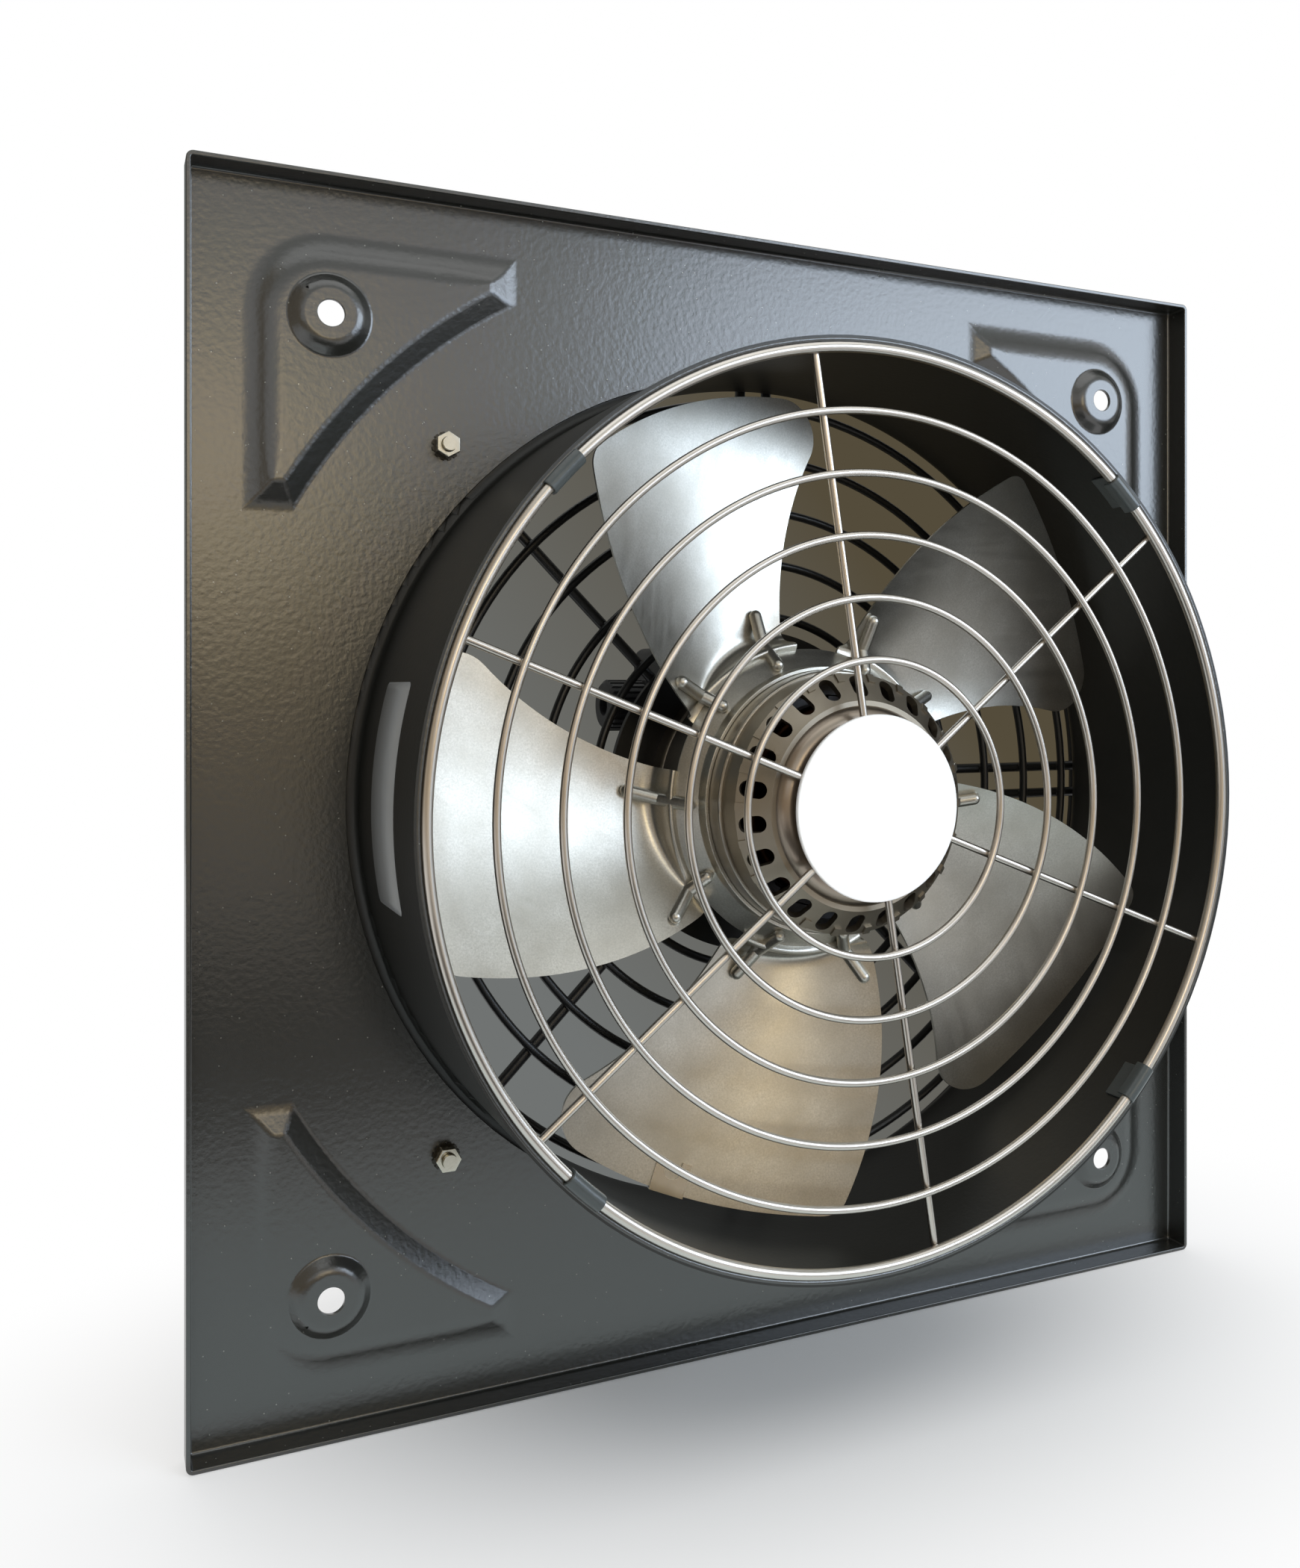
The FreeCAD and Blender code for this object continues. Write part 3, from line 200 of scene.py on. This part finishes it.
def round_edges(piece, width, by_weight=False):
    """Rounds the sharp edges and keeps the flats flat in the light."""
    bevel = piece.modifiers.new("rounded_edges", "BEVEL")
    bevel.limit_method = "WEIGHT" if by_weight else "ANGLE"
    bevel.angle_limit = math.radians(30)
    bevel.offset_type = "OFFSET"
    bevel.width = width
    bevel.segments = 5 if by_weight else 3
    bevel.profile = 0.5
    bevel.use_clamp_overlap = not by_weight
    bevel.loop_slide = False
    flats = piece.modifiers.new("flat_sides", "WEIGHTED_NORMAL")
    flats.mode = "FACE_AREA"
    flats.weight = 50
    flats.keep_sharp = False


close_copy(plate, shape, "wall_plate", "frame", coat_grey)
round_edges(plate, widest_round, by_weight=True)

# Duct: a rolled and seam-welded sheet ring with a bell mouth, flanged behind the plate and coated with it.
# Its front edge is rolled into a small lip, which closes the slit beside the guard's rim.
lip_radius, lip_depth, lip_round = 153.95 * mm, -76.5 * mm, 1.15 * mm
duct_edge_round = 0.55 * mm
ring_sides, ring_steps = 20, 240
# Powder coat on the rolled ring, drawn nearly black as painted shade inside and out, with a blurred sheen.
coat_duct_painted_shade = start_finish("powder_coat_painted_shade", "#141513", "#1a1b19", patch=90 * mm, roughness=0.42,
                         grain=1.7 * mm, depth=0.05 * mm)
duct, shape = merged_copy("duct_ring", "rolled_duct")
close_copy(duct, shape, "duct_ring", "frame", coat_duct_painted_shade)
round_edges(duct, duct_edge_round)


def add_piece(name, shape, body, material):
    """Makes an object of a new mesh and puts it on its body."""
    for face in shape.faces:
        face.smooth = True
    piece = bpy.data.objects.new(name, bpy.data.meshes.new(name))
    bpy.context.scene.collection.objects.link(piece)
    shape.to_mesh(piece.data)
    shape.free()
    piece.data.materials.append(material)
    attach(piece, body)
    return piece


def round_ring(name, radius, depth, thick, material):
    """A smooth ring of round section about the axis: thick is the section's own radius."""
    shape = bmesh.new()
    bmesh.ops.create_circle(shape, segments=ring_sides, radius=thick,
                            matrix=Matrix.Translation((radius, depth, 0)))
    bmesh.ops.spin(shape, geom=shape.verts[:] + shape.edges[:], axis=(0, 1, 0), cent=(0, 0, 0),
                   angle=2 * math.pi, steps=ring_steps, use_merge=True)
    bmesh.ops.remove_doubles(shape, verts=shape.verts, dist=same_point)
    bmesh.ops.recalc_face_normals(shape, faces=shape.faces)
    return add_piece(name, shape, "frame", material)


round_ring("rolled_duct_lip", lip_radius, lip_depth, lip_round, coat_grey)

# Guard clips: four short strips of thin coated sheet at the duct's front edge. Each is bent into a hook
# over the front guard's rim wire and holds it on the duct.
clip_edge_round = 0.25 * mm
# The coat on the clips is a paler, bluish grey satin.
coat_clip = start_finish("pale_powder_coat", "#3a4041", "#474d4d", patch=8 * mm, roughness=0.3,
                         grain=1.5 * mm, depth=0.05 * mm)
clips, shape = merged_copy("guard_clips", "bent_guard_clips")
close_copy(clips, shape, "guard_clips", "frame", coat_clip)
round_edges(clips, clip_edge_round)

# Rating label: a strip of foil glued on the outside of the duct, left bare.
# It is thin, pale and a little glossy, and follows the duct's curve.
label_radius = 155.25 * mm
label_start, label_end = math.radians(164.5), math.radians(191.0)
label_back, label_front = -17.6 * mm, -50.6 * mm
label_corner, label_steps, label_thickness = 2.4 * mm, 24, 0.12 * mm
# Label foil: an even mid grey with a faint gloss.
foil = start_finish("label_foil", "#7c7e7e", "#8b8d8d", patch=25 * mm, roughness=0.42, grain=3 * mm,
                    depth=0.01 * mm)
shape = bmesh.new()
ends = [shape.verts.new((label_radius * math.cos(label_start), y, label_radius * math.sin(label_start)))
        for y in (label_front, label_back)]
side = shape.edges.new(ends)
bmesh.ops.spin(shape, geom=[*ends, side], axis=(0, -1, 0), cent=(0, 0, 0),
               angle=label_end - label_start, steps=label_steps)
bmesh.ops.recalc_face_normals(shape, faces=shape.faces)
corners = [vert for vert in shape.verts if len(vert.link_faces) == 1]
bmesh.ops.bevel(shape, geom=corners, offset=label_corner, offset_type="OFFSET", segments=4, profile=0.5,
                affect="VERTICES", material=-1)
label = add_piece("rating_label", shape, "frame", foil)
backing = label.modifiers.new("foil_thickness", "SOLIDIFY")
backing.thickness = label_thickness
backing.offset = 0.0

# Front guard: six spokes and five rings of drawn steel wire inside a heavier rim, spot-welded at each
# crossing and bright plated. The rings are drawn as smooth rounds of the solids' own size and place.
front_ring_radii = [130.85 * mm, 110.4 * mm, 89.95 * mm, 69.5 * mm, 49.05 * mm]
front_spoke_angles = [math.radians(38.9 + 60 * i) for i in range(6)]
front_weld_depth, front_weld_radius = -76.0 * mm, 1.15 * mm
# Bright plating on drawn wire: a silver that mirrors softly, with a faint warm stain here and there.
plated = start_finish("bright_plated_wire", "#b9b3aa", "#cec9c3", patch=35 * mm, roughness=0.29,
                      metallic=1.0)


def dress(nodes, material):
    """Gives solids that keep their own mesh a finish."""
    for node in nodes:
        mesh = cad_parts[node].data
        mesh.materials.clear()
        mesh.materials.append(material)


dress(["front_guard_spokes"], plated)
for node in ["front_guard_rim"] + ["front_guard_ring_%d" % i for i in range(1, 6)]:
    points = [vert.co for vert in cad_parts[node].data.vertices]
    front, back = min(p.y for p in points), max(p.y for p in points)
    thick = (back - front) / 2
    radius = max(math.hypot(p.x, p.z) for p in points) - thick
    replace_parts(round_ring("drawn_" + node, radius, front + thick, thick, plated), node)
shape = bmesh.new()
for radius in front_ring_radii:
    for angle in front_spoke_angles:
        spot = Matrix.Translation((radius * math.cos(angle), front_weld_depth, radius * math.sin(angle)))
        bmesh.ops.create_icosphere(shape, subdivisions=2, radius=front_weld_radius, matrix=spot)
add_piece("front_guard_welds", shape, "frame", plated)

# Centre disc: a round of sheet, stamped, enamelled white and welded on the spokes' inner ends.
# Its face is bare.
# White enamel: nearly pure white, with a gentle gloss.
enamel = start_finish("white_enamel", "#f8f8f7", "#fcfcfb", patch=30 * mm, roughness=0.3, grain=4 * mm,
                      depth=0.01 * mm)
dress(["front_guard_badge"], enamel)

# Rear guard: rings, paired wires and four legs with eyelets, welded together and to the motor's plate.
# The whole is dipped in black enamel.
rear_ring_radii = [150 * mm, 129.5 * mm, 109 * mm, 88.5 * mm, 68 * mm]
rear_weld_depth, rear_weld_radius = 10.0 * mm, 1.9 * mm
pair_offset = 5.7 * mm
leg_angles = [math.radians(45 + 90 * i) for i in range(4)]
motor_plate_round = 0.4 * mm
# Black dip enamel: deep black, a little thick and glossy.
black_enamel = start_finish("black_dip_enamel", "#0e0e0f", "#191a1a", patch=25 * mm, roughness=0.36,
                            grain=2 * mm, depth=0.04 * mm)
dress(["rear_guard_rim", "rear_guard_legs", "rear_guard_pairs"], black_enamel)
dress(["rear_guard_ring_%d" % i for i in range(1, 6)], black_enamel)
shape = bmesh.new()
for radius in rear_ring_radii:
    spots = [(radius * math.cos(a), radius * math.sin(a)) for a in leg_angles]
    along = math.sqrt(radius ** 2 - pair_offset ** 2)
    for s in (-1, 1):
        for t in (-1, 1):
            spots += [(s * along, t * pair_offset), (t * pair_offset, s * along)]
    for x, z in spots:
        bmesh.ops.create_icosphere(shape, subdivisions=2, radius=rear_weld_radius,
                                   matrix=Matrix.Translation((x, rear_weld_depth, z)))
add_piece("rear_guard_welds", shape, "frame", black_enamel)
motor_plate, shape = merged_copy("motor_plate", "stamped_motor_plate")
close_copy(motor_plate, shape, "motor_plate", "frame", black_enamel)
round_edges(motor_plate, motor_plate_round)

# Guard fixings: a bolt through each leg's eyelet, with flat, rubber and toothed washers and a nut in front.
# The bolts, nuts and flat washers are zinc-plated steel, the toothed ones blued spring steel.
fixing_round = 0.3 * mm
# Zinc plate: bright, finely frosted, with a faint warm cast.
zinc = start_finish("zinc_plate", "#a9a596", "#c6c4bb", patch=6 * mm, roughness=0.22, metallic=1.0,
                    grain=0.8 * mm, depth=0.01 * mm)
for node, name in (("guard_nuts", "rounded_nuts"), ("guard_flat_washers", "stamped_washers")):
    piece, shape = merged_copy(node, name)
    close_copy(piece, shape, node, "frame", zinc)
    round_edges(piece, fixing_round)
# Blued spring steel: nearly black, with a metal's sheen.
blued = start_finish("blued_spring_steel", "#2a2a29", "#45433f", patch=2 * mm, roughness=0.3, metallic=1.0)
dress(["guard_tooth_washers"], blued)
dress(["guard_bolts", "motor_screws", "terminal_box_screws", "terminal_lid_screws"], zinc)
# Moulded rubber: matt black with a fine grain.
rubber = start_finish("moulded_rubber", "#131313", "#1d1d1c", patch=5 * mm, roughness=0.7, grain=0.6 * mm,
                      depth=0.02 * mm)
dress(["guard_rubber_washers", "gland_seal"], rubber)

# Motor base: a die-cast aluminium flange with the bearing tube, screwed to the motor's plate from behind.
# Nothing is done to its cast skin.
# Die-cast aluminium: a dull, warm grey metal, finely pitted.
cast = start_finish("die_cast_aluminium", "#8c8476", "#a59d90", patch=14 * mm, roughness=0.42,
                    metallic=1.0, grain=0.9 * mm, depth=0.02 * mm)
dress(["motor_base"], cast)

# Stator: a stack of stamped steel laminations, pressed on the base's bearing tube and wound with copper wire.
# The rotor's cage round it is stacked in the same way.
# Stacked laminations: dark, bluish steel with an uneven cut face.
laminations = start_finish("stacked_laminations", "#45464a", "#5a5b5e", patch=3 * mm, roughness=0.45,
                           metallic=1.0, grain=0.7 * mm, depth=0.03 * mm)
# Copper that is dipped in varnish and baked: dark brown, wavy and half glossy.
varnish = start_finish("varnished_copper", "#2a1a12", "#382318", patch=4 * mm, roughness=0.4, metallic=1.0,
                       grain=0.9 * mm, depth=0.1 * mm)
dress(["stator_core", "rotor_cage"], laminations)
dress(["stator_windings"], varnish)

# Bearings: two ball bearings, pressed into the base's tube. Their rings and balls are steel, and a moulded
# cage keeps the balls apart.
# Ground and polished steel: a clear, cool mirror.
ground_steel = start_finish("ground_bearing_steel", "#c2c3c5", "#d2d3d4", patch=4 * mm, roughness=0.15,
                            metallic=1.0)
# Moulded nylon: cream, smooth and half matt.
nylon = start_finish("moulded_nylon", "#d8d2bf", "#e2ddcc", patch=3 * mm, roughness=0.45, grain=0.5 * mm,
                     depth=0.01 * mm)
for end in ("front", "rear"):
    dress(["%s_bearing_%s" % (end, part) for part in ("outer", "inner", "balls")], ground_steel)
    dress(["%s_bearing_cage" % end], nylon)

# Rotor: a turned steel shell on the shaft, which carries the cap and the impeller.
# It runs in the two bearings, outside the stator.
# A wave texture of this scale has one ring in each unit.
one_ring_each_unit = 2 * math.pi / 20
# Turned steel: a warm grey metal with fine rings round the axis. The tool's real marks are finer; the rings
# are as coarse as they need to be to show.
turned = start_finish("turned_steel", "#98938a", "#aba69c", patch=12 * mm, roughness=0.3, metallic=1.0)


def add_lathe_rings(material, spacing, waver, depth):
    """Adds the rings that a lathe leaves round the axis."""
    tree, shader, place = nodes_of(material)
    rings = add(tree, "ShaderNodeTexWave", {
        "Vector": place, "Scale": one_ring_each_unit / spacing, "Distortion": waver},
        wave_type="RINGS", rings_direction="Y")
    bump = add(tree, "ShaderNodeBump", {"Height": rings.outputs[0], "Distance": depth})
    tree.links.new(bump.outputs["Normal"], shader.inputs["Normal"])


add_lathe_rings(turned, spacing=1.2 * mm, waver=0.4, depth=0.01 * mm)
dress(["rotor_shell", "shaft", "shaft_spacer"], turned)

# Slotted cap and dome: cast aluminium, turned where they meet and pressed on the rotor. The cap's slots let
# the motor breathe, and the dome's smooth face covers the shaft's end.
cap_edge_round = 0.3 * mm
cap, shape = merged_copy("slotted_cap", "slotted_motor_cap")
close_copy(cap, shape, "slotted_cap", "impeller", cast)
round_edges(cap, cap_edge_round)
# Satin-turned aluminium: a soft, brownish silver with faint rings, drawn as coarse as they need to show.
satin = start_finish("satin_turned_aluminium", "#92867a", "#a89d90", patch=18 * mm, roughness=0.3,
                     metallic=1.0)
add_lathe_rings(satin, spacing=1.5 * mm, waver=0.3, depth=0.008 * mm)
dress(["hub_dome"], satin)

# Blades: five stamped and twisted galvanised sheets, joined at their roots to a flanged hub ring on the
# rotor. Ribs are pressed across the fold at each root to stiffen it.
spangle_size = 16 * mm
speckle_size = 0.6 * mm
roll_spacing = 2.5 * mm
roll_length = 90 * mm
hub_edge_round = 0.3 * mm


def galvanised(name, turn):
    """Galvanised sheet whose rolling marks are turned with the blade."""
    # Zinc is a soft, pale grey metal with a faint spangle, a speckle and rolling marks along the sheet.
    # The speckle is finer on real sheet; it is as coarse as it needs to be to show.
    material = start_finish(name, "#a8a397", "#e6e5e0", patch=spangle_size, roughness=0.33, metallic=1.0)
    tree, shader, place = nodes_of(material)
    grains = add(tree, "ShaderNodeTexNoise", {
        "Vector": place, "Scale": 1 / speckle_size, "Detail": 3.0, "Roughness": 0.6})
    grained = add(tree, "ShaderNodeMapRange", {
        "Value": grains.outputs[0], "From Min": 0.2, "From Max": 0.7})
    spangled = shader.inputs["Base Color"].links[0].from_socket
    tone = add(tree, "ShaderNodeMix", {
        mix_share: grained.outputs[0], mix_from: tint("#b0aea6"), mix_to: spangled}, data_type="RGBA")
    tree.links.new(tone.outputs[2], shader.inputs["Base Color"])
    turned_place = add(tree, "ShaderNodeMapping", {"Vector": place, "Rotation": (0, turn, 0)})
    stretched = add(tree, "ShaderNodeMapping", {
        "Vector": turned_place.outputs[0], "Scale": (1 / roll_length, 1 / roll_spacing, 1 / roll_spacing)})
    rolling = add(tree, "ShaderNodeTexNoise", {
        "Vector": stretched.outputs[0], "Scale": 1.0, "Detail": 4.0})
    rough = add(tree, "ShaderNodeMapRange", {
        "Value": rolling.outputs[0], "From Min": 0.3, "From Max": 0.7, "To Min": 0.3, "To Max": 0.35})
    tree.links.new(rough.outputs[0], shader.inputs["Roughness"])
    bump = add(tree, "ShaderNodeBump", {"Height": grains.outputs[0], "Distance": 0.006 * mm})
    tree.links.new(bump.outputs["Normal"], shader.inputs["Normal"])
    return material


for i in range(5):
    dress(["blade_%d" % (i + 1)], galvanised("galvanised_sheet_%d" % (i + 1), math.radians(72 * i)))
hub, shape = merged_copy("hub_ring", "flanged_hub_ring")
close_copy(hub, shape, "hub_ring", "impeller", galvanised("galvanised_hub", 0.0))
round_edges(hub, hub_edge_round)

# Balance clip: a folded scrap of spring steel, pushed on one blade's tip when the impeller was balanced.
# The circlip on the shaft is of the same steel, sprung into its groove.
# Spring steel: polished, bright and finely marked.
spring = start_finish("spring_steel", "#b9b7b0", "#d2d0c9", patch=5 * mm, roughness=0.2, metallic=1.0,
                      grain=0.6 * mm, depth=0.008 * mm)
dress(["balance_clip", "shaft_circlip"], spring)

# Terminal box: moulded in black plastic, screwed to the motor's base, with a flat lid, a capacitor inside
# and a cable gland in its side.
box_edge_round, gland_edge_round = 0.5 * mm, 0.25 * mm
# Grained plastic: nearly black and half matt, with a fine moulded grain.
moulded = start_finish("grained_black_plastic", "#242527", "#2e3032", patch=12 * mm, roughness=0.5,
                       grain=0.8 * mm, depth=0.03 * mm)
for node, name, width in (("terminal_box", "moulded_terminal_box", box_edge_round),
                          ("terminal_box_lid", "moulded_box_lid", box_edge_round),
                          ("gland_nut", "ribbed_gland_nut", gland_edge_round),
                          ("gland_body", "hex_gland_body", gland_edge_round)):
    piece, shape = merged_copy(node, name)
    close_copy(piece, shape, node, "frame", moulded)
    round_edges(piece, width)
dress(["gland_lock_nut"], moulded)
# The capacitor's moulded case: off-white, smooth and half matt.
case = start_finish("moulded_capacitor_case", "#d6d6d2", "#e0e0dc", patch=8 * mm, roughness=0.4,
                    grain=1 * mm, depth=0.01 * mm)
dress(["capacitor"], case)

# Floor: a wide pale sheet under the fan that takes its shadow.
# Further off it is plain white to the eye and to mirrors, so that no seam shows.
floor_level, floor_reach = -211.3 * mm, 8.0
shadow_full, shadow_gone = 0.03, 0.22
shadow_shape = (0.6, 1, 0)


def sheet_of_stage(name, corner, side_a, side_b, material):
    """A flat sheet of the studio from a corner and its two sides."""
    shape = bmesh.new()
    a, b, c = Vector(corner), Vector(side_a), Vector(side_b)
    shape.faces.new([shape.verts.new(p) for p in (a, a + b, a + b + c, a + c)])
    piece = bpy.data.objects.new(name, bpy.data.meshes.new(name))
    bpy.context.scene.collection.objects.link(piece)
    shape.to_mesh(piece.data)
    shape.free()
    piece.data.materials.append(material)
    return piece


def empty_material(name):
    """A material without nodes, and its tree."""
    material = bpy.data.materials.new(name)
    material.use_nodes = True
    material.node_tree.nodes.clear()
    return material, material.node_tree


def seen_directly(tree):
    """One where the eye, a mirror or glass looks, and nothing where the light is only gathered."""
    path = add(tree, "ShaderNodeLightPath").outputs
    seen = add(tree, "ShaderNodeMath", {0: path["Is Camera Ray"], 1: path["Is Glossy Ray"]},
               operation="MAXIMUM")
    seen = add(tree, "ShaderNodeMath", {0: seen.outputs[0], 1: path["Is Transmission Ray"]},
               operation="MAXIMUM")
    return seen.outputs[0]


ground, tree = empty_material("pale_floor")
place = add(tree, "ShaderNodeTexCoord").outputs["Object"]
flat = add(tree, "ShaderNodeVectorMath", {0: place, 1: shadow_shape}, operation="MULTIPLY")
away = add(tree, "ShaderNodeVectorMath", {0: flat.outputs[0]}, operation="LENGTH")
share = add(tree, "ShaderNodeMapRange", {
    "Value": away.outputs["Value"], "From Min": shadow_full, "From Max": shadow_gone},
    interpolation_type="SMOOTHSTEP")
share = add(tree, "ShaderNodeMath", {0: share.outputs[0], 1: seen_directly(tree)}, operation="MULTIPLY")
matt = add(tree, "ShaderNodeBsdfDiffuse", {"Color": tint("#f6f6f5")})
glow = add(tree, "ShaderNodeEmission", {"Color": (1, 1, 1, 1), "Strength": 1.0})
mixed = add(tree, "ShaderNodeMixShader", {0: share.outputs[0], 1: matt.outputs[0], 2: glow.outputs[0]})
add(tree, "ShaderNodeOutputMaterial", {"Surface": mixed.outputs[0]})
sheet_of_stage("floor", (-floor_reach, -floor_reach, floor_level), (2 * floor_reach, 0, 0),
               (0, 2 * floor_reach, 0), ground)

# Backdrop: a round glowing card close behind the duct, grey on the left and brown on the right: painted shade
# seen through the openings. It is in two panels, the right one bent forward, and shows from its front side
# alone.
wall_depth = 59 * mm
wall_left, wall_fold, wall_right, wall_bend = -0.155, 0.05, 0.188, 0.0276
wall_bottom, wall_height = -0.2, 0.39
wall_middle = (0.032, wall_depth, -0.0054)
wall_full, wall_gone = 0.178, 0.186
grey_ends, brown_starts, slant_line = -0.13, 0.1, (0.8, 0, 0.6)
painted_shade_paper, tree = empty_material("painted_shade_backdrop")
place = add(tree, "ShaderNodeTexCoord").outputs["Object"]
place = add(tree, "ShaderNodeVectorMath", {0: place, 1: wall_middle}, operation="SUBTRACT").outputs[0]
away = add(tree, "ShaderNodeVectorMath", {0: place}, operation="LENGTH")
fading = add(tree, "ShaderNodeMapRange", {
    "Value": away.outputs["Value"], "From Min": wall_full, "From Max": wall_gone})
slant = add(tree, "ShaderNodeVectorMath", {0: place, 1: slant_line}, operation="DOT_PRODUCT")
slant = add(tree, "ShaderNodeMapRange", {
    "Value": slant.outputs["Value"], "From Min": grey_ends, "From Max": brown_starts})
# The card's grey and brown glow is painted shade of the space behind the fan.
tone = add(tree, "ShaderNodeMix", {
    mix_share: slant.outputs[0], mix_from: tint("#707372"), mix_to: tint("#544c3b")}, data_type="RGBA")
glow = add(tree, "ShaderNodeEmission", {"Color": tone.outputs[2], "Strength": 1.0})
behind = add(tree, "ShaderNodeNewGeometry").outputs["Backfacing"]
hidden = add(tree, "ShaderNodeMath", {0: fading.outputs[0], 1: behind}, operation="MAXIMUM")
clear = add(tree, "ShaderNodeBsdfTransparent")
one_sided = add(tree, "ShaderNodeMixShader", {
    0: hidden.outputs[0], 1: glow.outputs[0], 2: clear.outputs[0]})
add(tree, "ShaderNodeOutputMaterial", {"Surface": one_sided.outputs[0]})
for name, left, right, bend in (("wall", wall_left, wall_fold, 0.0),
                                ("wall_side", wall_fold, wall_right, wall_bend)):
    wall = sheet_of_stage(name, (left, wall_depth, wall_bottom), (right - left, -bend, 0),
                          (0, 0, wall_height), painted_shade_paper)
    wall.visible_diffuse = False
    wall.visible_shadow = False

# Lamps: four soft boxes round the fan, in a world that gives an even light and is white to the eye.
# The key is slightly cool, and a small warm one stands beside the camera.
world = bpy.data.worlds.new("studio")
bpy.context.scene.world = world
world.use_nodes = True
tree = world.node_tree
tree.nodes.clear()
soft = add(tree, "ShaderNodeBackground", {"Color": (1, 1, 1, 1), "Strength": 0.5})
white = add(tree, "ShaderNodeBackground", {"Color": (1, 1, 1, 1), "Strength": 1.0})
mixed = add(tree, "ShaderNodeMixShader", {0: seen_directly(tree), 1: soft.outputs[0], 2: white.outputs[0]})
add(tree, "ShaderNodeOutputWorld", {"Surface": mixed.outputs[0]})


def toward(turn, height):
    """Direction from the fan: turn from the front towards +X, height above level, in degrees."""
    a, e = math.radians(turn), math.radians(height)
    return Vector((math.sin(a) * math.cos(e), -math.cos(a) * math.cos(e), math.sin(e)))


def lamp(name, turn, height, distance, width, tall, watts, color):
    """A soft box that faces the fan."""
    light = bpy.data.lights.new(name, "AREA")
    light.shape = "RECTANGLE"
    light.size, light.size_y = width, tall
    light.energy = watts
    light.color = tint(color)[:3]
    box = bpy.data.objects.new(name, light)
    bpy.context.scene.collection.objects.link(box)
    box.location = toward(turn, height) * distance
    box.rotation_euler = (-toward(turn, height)).to_track_quat("-Z", "Y").to_euler()
    box.visible_camera = False


lamp("key_lamp", 42, 15, distance=2.0, width=1.3, tall=0.85, watts=20, color="#dbecff")
lamp("warm_lamp", -3, 10, distance=2.0, width=0.55, tall=0.62, watts=3.6, color="#ffe4ae")
lamp("top_lamp", 0, 80, distance=1.8, width=2.2, tall=2.2, watts=14, color="#ffffff")
lamp("rear_lamp", 190, 35, distance=2.2, width=1.5, tall=1.5, watts=6, color="#ffffff")

# Cards and mats: plain sheets round the fan, on the floor and overhead, that only reflections see.
# They give the coat and the metal a room to mirror.
mat_above_floor = 0.5 * mm


def mirrored_sheet(name, corner, side_a, side_b, color):
    """A sheet of one even tone that only reflections see."""
    material, tree = empty_material(name)
    glow = add(tree, "ShaderNodeEmission", {"Color": tint(color), "Strength": 1.0})
    add(tree, "ShaderNodeOutputMaterial", {"Surface": glow.outputs[0]})
    piece = sheet_of_stage(name, corner, side_a, side_b, material)
    piece.visible_camera = False
    piece.visible_diffuse = False
    piece.visible_shadow = False
    piece.visible_transmission = False


def card(name, turns, heights, distance, color):
    """A large upright card that faces the fan."""
    middle = sum(turns) / 2
    low = toward(middle, heights[0]) * distance
    high = toward(middle, heights[1]) * distance
    across = toward(middle + 90, 0) * distance * math.tan(math.radians(turns[1] - turns[0]) / 2)
    mirrored_sheet(name, low - across, 2 * across, high - low, color)


card("rear_card", (-165, -112), (-12, 55), 1.6, "#7d817e")
card("left_card", (-115, -46), (-12, 55), 1.7, "#b5a894")
card("room_card", (-16, 80), (-6, 8), 2.6, "#5c5b54")
card("right_card", (80, 150), (-5, 50), 1.7, "#c2c4c4")
card("warm_card", (-70, 0), (-9, 6), 1.5, "#a0865c")
card("middle_card", (0, 8), (-9, 6), 1.5, "#cbb284")
card("brown_card", (8, 24), (-9, 8), 1.5, "#9c783e")
for name, corner, sides, color in (("front_mat", (-0.5, -0.88), (0.53, 0.6), "#121210"),
                                   ("inner_mat", (0.1, -0.37), (0.3, 0.15), "#2c2c28"),
                                   ("side_mat", (0.62, -0.95), (1.1, 0.95), "#1c1c1a"),
                                   ("near_mat", (-0.4, -0.2), (0.8, 0.19), "#eefafc")):
    mirrored_sheet(name, (*corner, floor_level + mat_above_floor), (sides[0], 0, 0), (0, sides[1], 0), color)
mirrored_sheet("ceiling_card", (-2.5, -3.5, 2.1), (5, 0, 0), (0, 5, 0), "#c4c8c5")

# Camera: level, half a metre from the fan and turned towards it from the left.
# The shift sets the fan in the frame without a tilt.
camera = bpy.data.cameras.new("camera")
camera.lens = 29.64
camera.sensor_width = 36.0
camera.shift_y = -0.0603
camera.clip_start = 0.01
viewer = bpy.data.objects.new("camera", camera)
bpy.context.scene.collection.objects.link(viewer)
viewer.location = (-0.23825, -0.4377, 0.0392)
viewer.rotation_euler = (math.radians(90), 0, math.radians(-23.36))
bpy.context.scene.camera = viewer
bpy.context.scene.view_settings.view_transform = "Standard"
